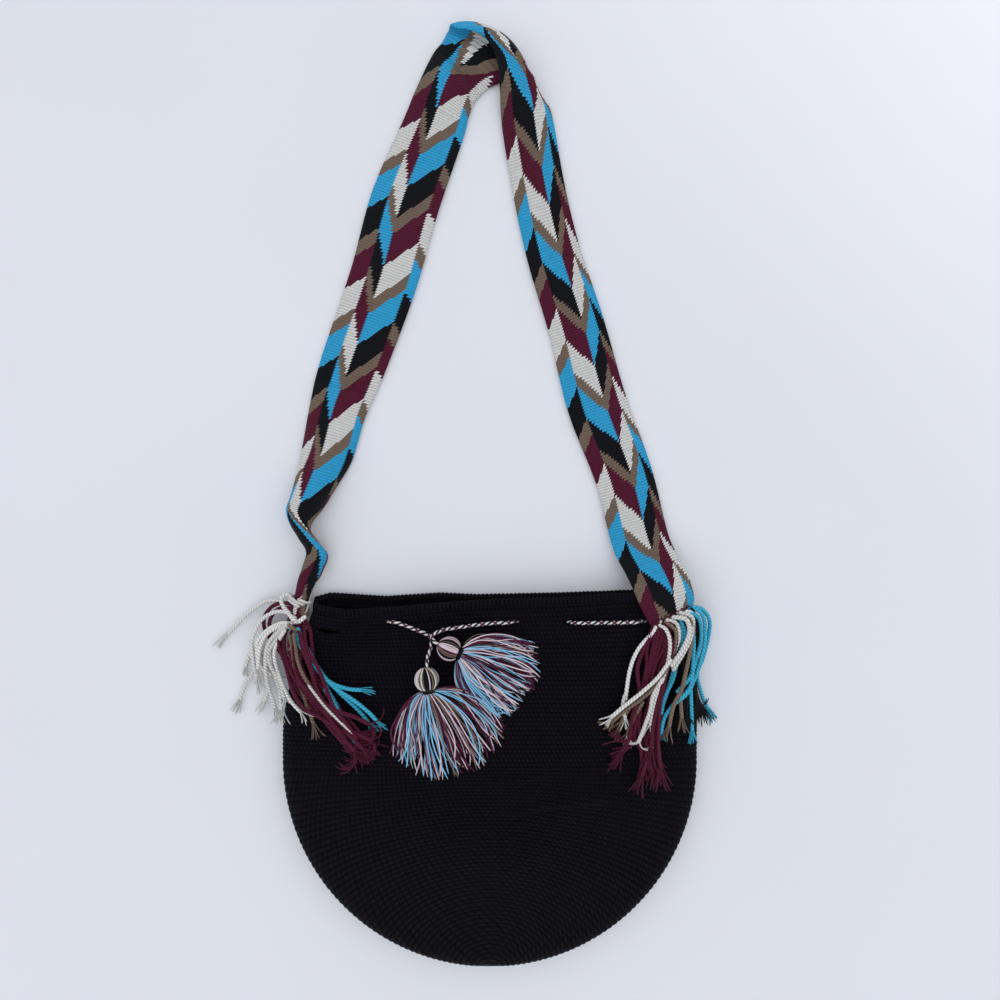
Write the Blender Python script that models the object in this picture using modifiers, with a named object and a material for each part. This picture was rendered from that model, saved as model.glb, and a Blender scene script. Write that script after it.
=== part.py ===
"""A crocheted shoulder bag with a woven strap, lying flat on its back.

Metres, +Z up. The origin is on the bag's flat underside, in the middle of its width.
+Y runs from the bag's round bottom towards the top of the strap.
Every piece is soft: each one is a plain closed solid of the right size in its place.
"""

import math

import bmesh
import bpy
from mathutils import Vector

MM = 0.001

# ---------------------------------------------------------------- bag
BAG_RADIUS = 177.4 * MM        # half of the width, and the radius of the round bottom
ROUND_CENTRE_Y = 22.7 * MM     # where the round bottom ends and the wall begins
RIM_Y = 162 * MM               # the mouth's edge
RIM_LEFT_X = -150 * MM
RIM_RIGHT_X = 170 * MM
WALL = 3.5 * MM                # thickness of the crochet
EDGE_MID_Z = 11 * MM           # height of the side fold's outermost line
EDGE_TOP_Z = 22 * MM           # height of the front layer just inside the fold
EDGE_ROUNDING = 15 * MM        # width over which the fold rounds off
BELLY_RISE = 10 * MM           # how far the front swells up in the middle
BELLY_REACH = 110 * MM         # distance from the fold at which the swell is full
RIM_SETTLE = 0.55              # share of the swell lost towards the mouth
BACK_LIFT = 4.5 * MM           # the back near the mouth rests on the drawstring
BACK_LIFT_FROM_Y = 103 * MM
BACK_LIFT_TO_Y = 132 * MM
RING_POINTS = 44
ROUND_RINGS = 17
WALL_RINGS = 10
POLE_CROWDING = 1.5            # rounds lie closer together near the bag's lowest point

# ---------------------------------------------------------------- eyelets and drawstring
EYELET_Y = 142 * MM
EYELET_WIDTH = 17 * MM
EYELET_HEIGHT = 6.4 * MM
FRONT_EYELETS = [-84 * MM, 19 * MM, 69 * MM, 127 * MM]
BACK_EYELETS = [-110 * MM, -50 * MM, 50 * MM, 110 * MM]
CORD_DIAMETER = 3 * MM
CORD_STEP = 8.8 * MM           # spacing of the tube's points

# ---------------------------------------------------------------- strap
STRAP_THICKNESS = 2.8 * MM
STRAP_STATIONS = 92
STRAP_SEGMENTS = 8

# ---------------------------------------------------------------- small pieces
FRINGE_CORD = 3.4 * MM
TIE_DIAMETER = 1.6 * MM
GAP = 0.4 * MM

BLACK = (0.010, 0.011, 0.016)
NEAR_BLACK = (0.016, 0.016, 0.022)
MAROON = (0.115, 0.010, 0.032)
BLUE = (0.045, 0.43, 0.76)
OFF_WHITE = (0.76, 0.74, 0.69)
TAUPE = (0.20, 0.14, 0.10)
MIXED_YARN = (0.42, 0.38, 0.42)

# The strap, row by row from the bag's left side, over the top, to its right side. A row is
# one edge of the band, the other edge and the band's width there, in millimetres. A width
# greater than the distance between the edges curls the band up between them, towards the
# direction given last. FLAT stands for a band that lies flat from edge to edge.
FLAT = 0
UP = (0, 0, 1)
RIGHTWARD = (1, 0, 0.3)
OVER_THE_TOP = (0.49, 0.87, 0)
STRAP_ROWS = [
    ((-172, 152, 12.5), (-171.5, 151.3, 8.5), 32, RIGHTWARD),
    ((-166.5, 163.5, 12.5), (-166.5, 163, 8.5), 32, RIGHTWARD),
    ((-164, 176, 14), (-164, 173, 7), 38, RIGHTWARD),
    ((-160, 188, 14), (-160, 185, 6), 42, RIGHTWARD),
    ((-157, 201, 14), (-157, 197, 5), 45, RIGHTWARD),
    ((-164, 213, 14), (-162, 207, 5), 48, (0.8, 0, 0.5)),
    ((-173, 229, 10), (-164, 220, 4), 50, (0.4, 0.2, 0.8)),
    ((-171, 246, 5), (-146, 238, 4), 50, UP),
    ((-167, 271, 3), (-131, 261, 3), 50, UP),
    ((-163, 293, 2), (-120, 281, 2), 50, UP),
    ((-156, 332, 2), (-109, 317, 2), 51, UP),
    ((-147, 371, 2), (-92, 354, 2), FLAT, UP),
    ((-122, 446, 2), (-65, 426, 2), FLAT, UP),
    ((-103, 515, 2), (-45, 495, 2), FLAT, UP),
    ((-75, 579, 2), (-24, 557, 2), FLAT, UP),
    ((-63, 606, 2), (-19, 578, 2), 53, UP),
    ((-51, 631, 2), (-13, 593, 2), 55, UP),
    ((-41, 646, 2), (-1, 604, 2), FLAT, UP),
    ((-36, 653, 4), (15, 612, 3), 68, OVER_THE_TOP),
    ((-34, 655, 9), (29, 620, 6), 80, OVER_THE_TOP),
    ((-29, 649, 15), (31, 615, 11), 76, OVER_THE_TOP),
    ((-13, 645, 17), (35, 611, 11), 62, (0.3, 0.3, 0.9)),
    ((-2, 638, 16), (38, 608, 10), 53, UP),
    ((5, 627, 14), (41, 604, 9), 47, UP),
    ((8, 614, 11), (44, 596, 7), 45, UP),
    ((9, 599, 8), (49, 589, 5), 45, UP),
    ((11, 568, 3), (54, 579, 3), 46, UP),
    ((21, 505, 2), (66, 518, 2), FLAT, UP),
    ((33, 451, 2), (79, 465, 2), FLAT, UP),
    ((51, 390, 2), (99, 405, 2), FLAT, UP),
    ((68, 321, 2), (119, 336, 2), FLAT, UP),
    ((92, 259, 2), (141, 274, 2), FLAT, UP),
    ((106, 204, 6), (155, 217, 4), FLAT, UP),
    ((115, 183, 17), (162, 197, 13), FLAT, UP),
    ((121, 168, 26), (168, 182, 22), FLAT, UP),
    ((127, 153, 29), (172, 164, 27), FLAT, UP),
    ((134, 141, 29), (170, 149, 27), FLAT, UP),
]

# The drawstring's route in millimetres. It leaves the lower tassel, dips in and out of the
# eyelets round the mouth and ends in the upper tassel.
LOWER_END = [(-51.5, 111, 38), (-50.5, 117, 34.5), (-48.5, 124, 31), (-50, 131, 29.4), (-62, 136.5, 28.8)]
UPPER_END = [(4, 142, 29.3), (-12, 140.5, 30.4), (-27, 138.5, 31.5), (-40, 136.5, 33.5), (-47.5, 132, 36.5), (-43.6, 127, 38.8)]


def smooth_step(value, start, end):
    """0 before start, 1 after end, and an even ease between."""
    share = min(max((value - start) / (end - start), 0.0), 1.0)
    return share * share * (3 - 2 * share)


def quarter_round(share):
    """Height of a quarter circle, from 0 at its foot to 1 at its top."""
    return math.sqrt(max(0.0, 1 - (1 - min(share, 1.0)) ** 2))


def material(name, colour, roughness=0.9):
    """A plain yarn material."""
    made = bpy.data.materials.new(name)
    made.use_nodes = True
    shader = made.node_tree.nodes["Principled BSDF"]
    shader.inputs["Base Color"].default_value = (*colour, 1)
    shader.inputs["Roughness"].default_value = roughness
    shader.inputs["Metallic"].default_value = 0
    return made


def add_mesh(name, vertices, faces, collection, colour):
    """Make one named mesh object with a material of its own."""
    mesh = bpy.data.meshes.new(name)
    mesh.from_pydata([tuple(v) for v in vertices], [], faces)
    mesh.update()
    for face in mesh.polygons:
        face.use_smooth = True
    mesh.materials.append(material(name + "_yarn", colour))
    thing = bpy.data.objects.new(name, mesh)
    collection.objects.link(thing)
    return thing


# ---------------------------------------------------------------- smooth curves
def spline_point(points, position):
    """A point on the smooth curve through all the points; position counts them."""
    last = len(points) - 1
    index = min(int(position), last - 1)
    t = position - index
    before = points[max(index - 1, 0)]
    start, end = points[index], points[index + 1]
    after = points[min(index + 2, last)]
    return 0.5 * (
        2 * start
        + (end - before) * t
        + (2 * before - 5 * start + 4 * end - after) * t * t
        + (3 * start - before - 3 * end + after) * t * t * t
    )


def even_points(points, step):
    """Points about one step apart along the smooth curve through the given ones."""
    fine = [spline_point(points, i / 24) for i in range(24 * (len(points) - 1) + 1)]
    length = [0.0]
    for a, b in zip(fine, fine[1:]):
        length.append(length[-1] + (b - a).length)
    count = max(2, round(length[-1] / step))
    result, seek = [], 0
    for i in range(count + 1):
        wanted = length[-1] * i / count
        while seek < len(fine) - 2 and length[seek + 1] < wanted:
            seek += 1
        share = (wanted - length[seek]) / (length[seek + 1] - length[seek])
        result.append(fine[seek].lerp(fine[seek + 1], min(max(share, 0), 1)))
    return result


def add_tube(name, route_mm, diameter, step, collection, colour):
    """A round cord along the smooth curve through a route given in millimetres."""
    points = even_points([Vector(p) * MM for p in route_mm], step)
    curve = bpy.data.curves.new(name, "CURVE")
    curve.dimensions = "3D"
    curve.bevel_depth = diameter / 2
    curve.bevel_resolution = 2
    curve.render_resolution_u = 0
    curve.use_fill_caps = True
    spline = curve.splines.new("POLY")
    spline.points.add(len(points) - 1)
    for target, point in zip(spline.points, points):
        target.co = (*point, 1)
    curve.materials.append(material(name + "_yarn", colour))
    thing = bpy.data.objects.new(name, curve)
    collection.objects.link(thing)
    return thing


# ---------------------------------------------------------------- bag body
def bag_side_x(y):
    """Left and right limits of the bag at a height y along it."""
    if y <= ROUND_CENTRE_Y:
        half = math.sqrt(max(0.0, BAG_RADIUS ** 2 - (y - ROUND_CENTRE_Y) ** 2))
        return -half, half
    pull = smooth_step(y, ROUND_CENTRE_Y + 20 * MM, RIM_Y + 45 * MM) / smooth_step(
        RIM_Y, ROUND_CENTRE_Y + 20 * MM, RIM_Y + 45 * MM
    )
    left = -BAG_RADIUS + (RIM_LEFT_X + BAG_RADIUS) * pull
    right = BAG_RADIUS + (RIM_RIGHT_X - BAG_RADIUS) * pull
    return left, right


def depth_inside(x, y):
    """Distance from the bag's outline to a point inside it."""
    if y <= ROUND_CENTRE_Y:
        return max(0.0, BAG_RADIUS - math.hypot(x, y - ROUND_CENTRE_Y))
    left, right = bag_side_x(y)
    return max(0.0, min(x - left, right - x))


def front_height(x, y):
    """Height of the front layer's outer face."""
    depth = depth_inside(x, y)
    swell = BELLY_RISE * smooth_step(depth, 0, BELLY_REACH)
    swell *= 1 - RIM_SETTLE * smooth_step(y, ROUND_CENTRE_Y + 30 * MM, RIM_Y)
    return EDGE_MID_Z + (EDGE_TOP_Z - EDGE_MID_Z) * quarter_round(depth / EDGE_ROUNDING) + swell


def back_height(x, y):
    """Height of the back layer's outer face: flat on the surface, lifted near the mouth."""
    lift = BACK_LIFT * smooth_step(y, BACK_LIFT_FROM_Y, BACK_LIFT_TO_Y)
    rounding = 1 - quarter_round(depth_inside(x, y) / EDGE_ROUNDING)
    return lift + (EDGE_MID_Z - lift) * rounding


def row_point(row, across):
    """Place in plan of a point on a crochet round.

    row below 1 is on the round bottom: such a round meets the outline at right angles and is
    centred below the bag's lowest point. From 1 to 2 it runs straight across the wall.
    across runs from -1 at the left fold to 1 at the right fold.
    """
    if row < 1:
        angle = row * math.pi / 2
        centre_y = ROUND_CENTRE_Y - BAG_RADIUS / math.cos(angle)
        radius = BAG_RADIUS * math.tan(angle)
        turn = math.pi / 2 - across * (math.pi / 2 - angle)
        return radius * math.cos(turn), centre_y + radius * math.sin(turn)
    y = ROUND_CENTRE_Y + (RIM_Y - ROUND_CENTRE_Y) * (row - 1)
    left, right = bag_side_x(y)
    return (left + right) / 2 + across * (right - left) / 2, y


def bag_shell():
    """Vertices and faces of the bag's outer skin, open at the mouth."""
    rows = [((i + 1) / (ROUND_RINGS + 1)) ** POLE_CROWDING for i in range(ROUND_RINGS)]
    rows += [1 + i / WALL_RINGS for i in range(WALL_RINGS + 1)]
    vertices = [Vector((0, ROUND_CENTRE_Y - BAG_RADIUS, EDGE_MID_Z))]
    for row in rows:
        for k in range(RING_POINTS):
            turn = 2 * math.pi * k / RING_POINTS
            x, y = row_point(row, -math.cos(turn))
            if k in (0, RING_POINTS // 2):
                z = EDGE_MID_Z
            elif k < RING_POINTS // 2:
                z = front_height(x, y)
            else:
                z = back_height(x, y)
            vertices.append(Vector((x, y, z)))
    faces = []
    for k in range(RING_POINTS):
        after = (k + 1) % RING_POINTS
        faces.append((0, 1 + after, 1 + k))
        for ring in range(len(rows) - 1):
            low, high = 1 + ring * RING_POINTS, 1 + (ring + 1) * RING_POINTS
            faces.append((low + k, low + after, high + after, high + k))
    return vertices, faces


def add_cutter(name, centre, size, collection):
    """A box that cuts one eyelet."""
    mesh = bpy.data.meshes.new(name)
    shape = bmesh.new()
    bmesh.ops.create_cube(shape, size=1)
    bmesh.ops.scale(shape, vec=Vector(size), verts=shape.verts)
    bmesh.ops.translate(shape, vec=Vector(centre), verts=shape.verts)
    upright = [e for e in shape.edges if abs(e.verts[0].co.z - e.verts[1].co.z) > size[2] / 2]
    bmesh.ops.bevel(shape, geom=upright, offset=size[1] * 0.3, segments=1, affect="EDGES")
    shape.to_mesh(mesh)
    shape.free()
    cutter = bpy.data.objects.new(name, mesh)
    cutter.hide_render = True
    cutter.display_type = "WIRE"
    collection.objects.link(cutter)
    return cutter


def make_bag(parts, cutters):
    """The pouch: outer skin, given its wall, with the eyelets cut through it."""
    vertices, faces = bag_shell()
    bag = add_mesh("bag_body", vertices, faces, parts, BLACK)
    wall = bag.modifiers.new("wall", "SOLIDIFY")
    wall.thickness = WALL
    wall.offset = -1
    wall.use_even_offset = True
    wall.use_quality_normals = True
    places = [("front", x, front_height(x, EYELET_Y) - WALL / 2) for x in FRONT_EYELETS]
    places += [("back", x, back_height(x, EYELET_Y) + WALL / 2) for x in BACK_EYELETS]
    for number, (side, x, z) in enumerate(places):
        cutter = add_cutter(
            f"eyelet_cutter_{side}_{number}",
            (x, EYELET_Y, z),
            (EYELET_WIDTH, EYELET_HEIGHT, WALL * 3),
            cutters,
        )
        cut = bag.modifiers.new(cutter.name, "BOOLEAN")
        cut.operation = "DIFFERENCE"
        cut.solver = "EXACT"
        cut.object = cutter
    return bag


# ---------------------------------------------------------------- strap
def curled_row(edge_a, edge_b, width, curl_way):
    """Points across the band: an arc of the band's width between its two edges."""
    chord = edge_b - edge_a
    span = chord.length
    along = chord.normalized()
    outward = curl_way - along * curl_way.dot(along)
    outward.normalize()
    if span >= width * 0.999:
        return [edge_a.lerp(edge_b, i / STRAP_SEGMENTS) for i in range(STRAP_SEGMENTS + 1)]
    low, high = 1e-4, math.pi * 0.98
    for _ in range(40):
        half = (low + high) / 2
        if math.sin(half) / half > span / width:
            low = half
        else:
            high = half
    radius = width / (2 * half)
    middle = edge_a.lerp(edge_b, 0.5)
    row = []
    for i in range(STRAP_SEGMENTS + 1):
        turn = half * (2 * i / STRAP_SEGMENTS - 1)
        rise = radius * (math.cos(turn) - math.cos(half))
        row.append(middle + along * (radius * math.sin(turn)) + outward * rise)
    return row


def make_strap(parts):
    """The woven band, as one grid from end to end, given its thickness."""
    edge_a = [Vector(row[0]) * MM for row in STRAP_ROWS]
    edge_b = [Vector(row[1]) * MM for row in STRAP_ROWS]
    widths = []
    for a, b, row in zip(edge_a, edge_b, STRAP_ROWS):
        width = 0.98 * (b - a).length if row[2] == FLAT else row[2] * MM
        widths.append(Vector((width, 0, 0)))
    curls = [Vector(row[3]).normalized() for row in STRAP_ROWS]
    vertices = []
    for i in range(STRAP_STATIONS + 1):
        position = (len(STRAP_ROWS) - 1) * i / STRAP_STATIONS
        vertices += curled_row(
            spline_point(edge_a, position),
            spline_point(edge_b, position),
            spline_point(widths, position).x,
            spline_point(curls, position),
        )
    faces = []
    for i in range(STRAP_STATIONS):
        for j in range(STRAP_SEGMENTS):
            corner = i * (STRAP_SEGMENTS + 1) + j
            below = corner + STRAP_SEGMENTS + 1
            faces.append((corner, corner + 1, below + 1, below))
    strap = add_mesh("strap", vertices, faces, parts, MAROON)
    thickness = strap.modifiers.new("thickness", "SOLIDIFY")
    thickness.thickness = STRAP_THICKNESS
    thickness.offset = 0
    return strap


# ---------------------------------------------------------------- drawstring
def eyelet_step(x, front, inward):
    """Three route points that take the cord through an eyelet, moving towards `inward`."""
    reach = 6.5
    radius = CORD_DIAMETER / MM / 2 + 0.5
    y = EYELET_Y / MM
    if front:
        outer = front_height(x * MM, EYELET_Y) / MM + radius
        inner = outer - WALL / MM - 2 * radius
    else:
        outer = back_height(x * MM, EYELET_Y) / MM - radius
        inner = outer + WALL / MM + 2 * radius
    return [(x - inward * reach, y, outer), (x, y, (outer + inner) / 2), (x + inward * reach, y, inner)]


def drawstring_route():
    """The whole cord, from the lower tassel round the mouth to the upper tassel."""
    y = EYELET_Y / MM
    front = [x / MM for x in FRONT_EYELETS]
    back = [x / MM for x in BACK_EYELETS]
    route = list(LOWER_END)
    route += eyelet_step(front[0], True, -1)
    route += [(-112, y, 17), (-132, y, 15), (-145, y, 13.5), (-147, y, 12.5), (-136, y, 11.4)]
    route += eyelet_step(back[0], False, -1)[::-1]
    route += eyelet_step(back[1], False, 1)
    route += [(-20, y, 10.2), (20, y, 10.2)]
    route += eyelet_step(back[2], False, -1)[::-1]
    route += eyelet_step(back[3], False, 1)
    route += [(138, y, 11.2), (156, y, 12.2), (159, y, 13.2), (150, y, 15)]
    route += eyelet_step(front[3], True, 1)[::-1]
    route += eyelet_step(front[2], True, -1)
    route += [(44, y, 19.5)]
    route += eyelet_step(front[1], True, 1)[::-1]
    route += UPPER_END
    return route


# ---------------------------------------------------------------- lofted bundles of yarn
def add_bundle(name, sections, points_round, collection, colour):
    """A closed soft solid through elliptical sections.

    A section is its centre, its half width and its half height, in millimetres. Its width lies
    level, square to the way that the bundle runs.
    """
    centres = [Vector(s[0]) * MM for s in sections]
    vertices, faces = [], []
    for i, (_, half_width, half_height) in enumerate(sections):
        ahead = centres[min(i + 1, len(centres) - 1)] - centres[max(i - 1, 0)]
        ahead.normalize()
        side = ahead.cross(Vector((0, 0, 1))).normalized()
        lift = side.cross(ahead)
        for k in range(points_round):
            turn = 2 * math.pi * k / points_round
            vertices.append(
                centres[i]
                + side * (half_width * MM * math.cos(turn))
                + lift * (half_height * MM * math.sin(turn))
            )
    for i in range(len(sections) - 1):
        for k in range(points_round):
            after = (k + 1) % points_round
            low, high = i * points_round, (i + 1) * points_round
            faces.append((low + k, high + k, high + after, low + after))
    faces.append(tuple(range(points_round)))
    last = (len(sections) - 1) * points_round
    faces.append(tuple(last + k for k in reversed(range(points_round))))
    return add_mesh(name, vertices, faces, collection, colour)


def tassel_sections(head, direction, skirt):
    """Sections of a tassel: a round head, a tied neck and a spreading skirt.

    skirt lists the distance from the head's centre, the sideways shift, the half width, the
    height of the centre and the half height.
    """
    radius = 10.5
    ahead = Vector((*direction, 0)).normalized()
    side = Vector((ahead.y, -ahead.x, 0))
    sections = []
    for turn in (12, 40, 70, 100, 130):
        angle = math.radians(turn)
        centre = Vector(head) - ahead * (radius * math.cos(angle))
        size = radius * math.sin(angle)
        sections.append((tuple(centre), size, size * 0.95))
    for distance, shift, half_width, height, half_height in skirt:
        centre = Vector(head) + ahead * distance + side * shift
        sections.append(((centre.x, centre.y, height), half_width, half_height))
    return sections


def add_tie(name, centre, direction, hole, collection, colour):
    """A thread wound round a tassel's neck, as one ring."""
    ahead = Vector((*direction, 0)).normalized()
    bpy.ops.mesh.primitive_torus_add(
        major_radius=(hole + GAP + TIE_DIAMETER / 2),
        minor_radius=TIE_DIAMETER / 2,
        major_segments=20,
        minor_segments=8,
    )
    tie = bpy.context.object
    tie.name = name
    tie.rotation_euler = ahead.to_track_quat("Z", "Y").to_euler()
    tie.location = Vector(centre) * MM
    tie.data.materials.append(material(name + "_yarn", colour))
    for owner in list(tie.users_collection):
        owner.objects.unlink(tie)
    collection.objects.link(tie)
    return tie


LOWER_HEAD = (-51.5, 97.5, 40.5)
LOWER_WAY = (0.16, -1)
LOWER_SKIRT = [
    (11, 0, 4.6, 38, 4.6),
    (14, 0, 4.6, 38, 4.6),
    (18, 0, 9, 39.5, 7),
    (26, -1, 20, 41, 8.5),
    (45, -4, 33, 41, 8),
    (66, -5, 40, 40.5, 6.5),
    (82, -5, 34, 39, 4.5),
]
UPPER_HEAD = (-33, 122.5, 39)
UPPER_WAY = (1, -0.42)
UPPER_SKIRT = [
    (11, 0, 4.6, 37, 4.6),
    (14, 0, 4.6, 37, 4.6),
    (18, 0.5, 8.5, 37, 6.5),
    (26, 2, 17, 37, 7.5),
    (42, 4, 25, 37, 7),
    (60, 6, 30, 37, 5.5),
    (76, 7, 27, 36.5, 4),
]


def make_tassels(parts):
    """Both tassels with the thread round their necks."""
    for name, head, way, skirt in (
        ("tassel_lower", LOWER_HEAD, LOWER_WAY, LOWER_SKIRT),
        ("tassel_upper", UPPER_HEAD, UPPER_WAY, UPPER_SKIRT),
    ):
        sections = tassel_sections(head, way, skirt)
        add_bundle(name, sections, 16, parts, MIXED_YARN)
        neck = (Vector(sections[5][0]) + Vector(sections[6][0])) / 2
        add_tie(name + "_tie", neck, way, sections[5][1] * MM, parts, NEAR_BLACK)


# ---------------------------------------------------------------- fringe
# Each bundle: name, colour, and its sections in millimetres.
FRINGE_BUNDLES = [
    ("fringe_left_white", OFF_WHITE, [
        ((-178, 144, 9), 5, 4),
        ((-186, 132, 8), 9, 5),
        ((-196, 112, 6), 14, 5),
        ((-203, 88, 5), 19, 4.4),
        ((-202, 66, 4.4), 22, 4),
        ((-197, 48, 4), 23, 3.4),
    ]),
    ("fringe_left_maroon", MAROON, [
        ((-167, 140, 27), 6, 3.6),
        ((-170, 126, 29), 11, 5),
        ((-165, 102, 32), 14, 6),
        ((-150, 75, 34), 16, 6),
        ((-131, 49, 35), 18, 5.5),
        ((-112, 28, 35), 20, 5),
        ((-100, 14, 35), 16, 4),
    ]),
    ("fringe_left_blue", BLUE, [
        ((-139, 98, 31), 4, 3),
        ((-127, 86, 32.5), 8, 4),
        ((-111, 74, 35), 13, 4.4),
        ((-96, 64, 36), 17, 4),
    ]),
    ("fringe_left_taupe", TAUPE, [
        ((-181, 96, 22), 3, 3),
        ((-178, 82, 24), 4.5, 3.4),
        ((-166, 58, 29), 5.5, 3.4),
        ((-150, 34, 32), 7, 3.2),
    ]),
    ("fringe_right_white", OFF_WHITE, [
        ((136, 130, 29), 3.5, 3.5),
        ((128, 116, 30), 6, 4),
        ((119, 96, 32), 8.5, 4.4),
        ((112, 78, 33.5), 11, 4),
        ((107, 66, 34), 12, 3.2),
    ]),
    ("fringe_right_maroon", MAROON, [
        ((147, 133, 30), 5.5, 3.8),
        ((144, 112, 31), 7, 5),
        ((138, 82, 32), 10, 5),
        ((136, 46, 33), 15, 4.6),
        ((138, 12, 34), 18, 4),
        ((142, -8, 34), 19, 3.2),
    ]),
    ("fringe_right_blue", BLUE, [
        ((158, 135, 30), 3.4, 3.4),
        ((157, 116, 30), 4, 3.8),
        ((154, 92, 30), 5, 4),
        ((156, 66, 30), 4, 3.6),
        ((164, 34, 29), 4.5, 3.2),
    ]),
    ("fringe_right_taupe", TAUPE, [
        ((165.5, 137, 29), 2, 2.6),
        ((166, 118, 28), 2.6, 3),
        ((166, 92, 28), 3.4, 3),
        ((168, 62, 27), 3, 2.8),
    ]),
    ("fringe_right_black", NEAR_BLACK, [
        ((172, 132, 26), 2, 2.4),
        ((175, 112, 25), 3, 3),
        ((177, 86, 24), 4.5, 3.2),
        ((179, 60, 22), 6, 3.2),
        ((178, 40, 21), 5.4, 3),
    ]),
]
STRAY_WHITE = [(-182, 149, 12), (-190, 157, 9.5), (-201, 155, 4), (-219, 138, 2.2), (-234, 126, 2.2), (-248, 106, 2.2)]
STRAY_BLUE = [(182, 147, 22), (186, 130, 17), (186, 108, 9), (184, 92, 3.4), (196, 62, 2.2), (207, 40, 2.2)]
BINDING_CENTRE = (-163.4, 158, 11.8)
BINDING_HOLE = 10.1
STITCHES_RIGHT = 7


def make_fringe(parts):
    """The loose cords past the strap's two ends, bundle by bundle."""
    for name, colour, sections in FRINGE_BUNDLES:
        add_bundle(name, sections, 12, parts, colour)
    add_tube("fringe_left_stray", STRAY_WHITE, FRINGE_CORD, 7 * MM, parts, OFF_WHITE)
    add_tube("fringe_right_stray", STRAY_BLUE, FRINGE_CORD, 7 * MM, parts, BLUE)


def make_binding(parts):
    """The pale cord wound round the strap's curled left end."""
    turns, per_turn, pitch = 2.25, 12, 3.6
    axis = Vector((0.41, 0.91, 0)).normalized()
    side = Vector((axis.y, -axis.x, 0)).normalized()
    up = side.cross(axis)
    route = []
    for i in range(round(turns * per_turn) + 1):
        turn = 2 * math.pi * i / per_turn
        place = Vector(BINDING_CENTRE) + axis * (pitch * (i / per_turn - turns / 2))
        place += side * (BINDING_HOLE * math.cos(turn)) + up * (BINDING_HOLE * math.sin(turn))
        route.append(tuple(place))
    add_tube("strap_binding_left", route, 2.4 * MM, 4 * MM, parts, OFF_WHITE)


def make_stitching(parts):
    """One yarn that zigzags across the strap's right end and holds it down."""
    start, end = Vector((131.5, 146.5, 32.2)), Vector((169.5, 154.5, 30.2))
    across = (end - start).normalized()
    along = Vector((-across.y, across.x, 0))
    route = []
    for i in range(2 * STITCHES_RIGHT + 1):
        place = start.lerp(end, i / (2 * STITCHES_RIGHT))
        route.append(tuple(place + along * (2.4 if i % 2 else -2.4)))
    add_tube("strap_stitching_right", route, 1.4 * MM, 3 * MM, parts, NEAR_BLACK)


def main():
    for old in list(bpy.data.objects):
        bpy.data.objects.remove(old, do_unlink=True)
    parts = bpy.data.collections.new("crocheted_shoulder_bag")
    cutters = bpy.data.collections.new("cutters")
    for made in (parts, cutters):
        bpy.context.scene.collection.children.link(made)
    make_bag(parts, cutters)
    make_strap(parts)
    add_tube("drawstring", drawstring_route(), CORD_DIAMETER, CORD_STEP, parts, MIXED_YARN)
    make_tassels(parts)
    make_binding(parts)
    make_stitching(parts)
    make_fringe(parts)


main()
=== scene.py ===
"""The looks of a crocheted shoulder bag with a woven strap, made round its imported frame.

The bag lies flat on its back, and +Y runs from its round bottom to the top of the strap.
Every size and place is in millimetres until a piece becomes a mesh, which is in metres.
"""

import logging
import math
from dataclasses import dataclass, field
from enum import Enum

import bmesh
import bpy
import numpy as np
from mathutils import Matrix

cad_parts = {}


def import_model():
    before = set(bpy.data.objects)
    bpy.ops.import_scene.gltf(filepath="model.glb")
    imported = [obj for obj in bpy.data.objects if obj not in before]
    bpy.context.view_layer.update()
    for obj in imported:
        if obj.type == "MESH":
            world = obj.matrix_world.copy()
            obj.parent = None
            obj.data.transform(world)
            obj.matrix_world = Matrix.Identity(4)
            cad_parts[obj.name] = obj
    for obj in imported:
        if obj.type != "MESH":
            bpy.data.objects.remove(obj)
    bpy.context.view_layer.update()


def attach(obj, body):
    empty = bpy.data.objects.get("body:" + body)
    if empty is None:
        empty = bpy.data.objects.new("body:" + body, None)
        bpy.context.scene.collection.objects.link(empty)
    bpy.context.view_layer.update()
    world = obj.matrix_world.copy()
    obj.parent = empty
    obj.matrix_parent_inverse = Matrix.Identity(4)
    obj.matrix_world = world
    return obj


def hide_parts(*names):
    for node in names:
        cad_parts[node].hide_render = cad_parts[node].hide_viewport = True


LOG = logging.getLogger("shoulder_bag")
MM = 0.001

Points = list[tuple[float, ...]]
Place = tuple[float, float, float]
Colour = tuple[float, float, float]
StrapRow = tuple[Place, Place, float, Place]


class Yarn(Enum):
    """The yarn colours, as linear red, green and blue."""

    BLACK = (0.0042, 0.0044, 0.0065)
    BAG_BLACK = (0.0056, 0.0044, 0.0070)
    BLUE = (0.038, 0.430, 0.760)
    SKY_BLUE = (0.052, 0.440, 0.620)
    MAROON = (0.105, 0.009, 0.030)
    OFF_WHITE = (0.820, 0.800, 0.750)
    TAUPE = (0.215, 0.152, 0.108)
    PLUM = (0.115, 0.016, 0.050)
    PALE_PINK = (0.800, 0.660, 0.690)
    PALE_BLUE = (0.260, 0.600, 0.840)


# ---------------------------------------------------------------- shapes and curves
def smooth_step(value: np.ndarray, start: float, end: float) -> np.ndarray:
    """Ease from 0 before start to 1 after end."""
    share = np.clip((np.asarray(value, float) - start) / (end - start), 0.0, 1.0)
    return share * share * (3 - 2 * share)


def quarter_round(share: np.ndarray) -> np.ndarray:
    """Height of a quarter circle, from 0 at its foot to 1 at its top."""
    return np.sqrt(np.maximum(0.0, 1 - (1 - np.minimum(share, 1.0)) ** 2))


def unit(vectors: np.ndarray) -> np.ndarray:
    """The vectors along an array's last axis, at a length of 1."""
    return vectors / np.linalg.norm(vectors, axis=-1, keepdims=True)


def pattern_grid(along: np.ndarray, around: np.ndarray) -> np.ndarray:
    """The pattern map of a grid, from one coordinate for its rows and one for its columns."""
    return np.stack(np.meshgrid(along, around, indexing="ij"), axis=-1)


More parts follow.
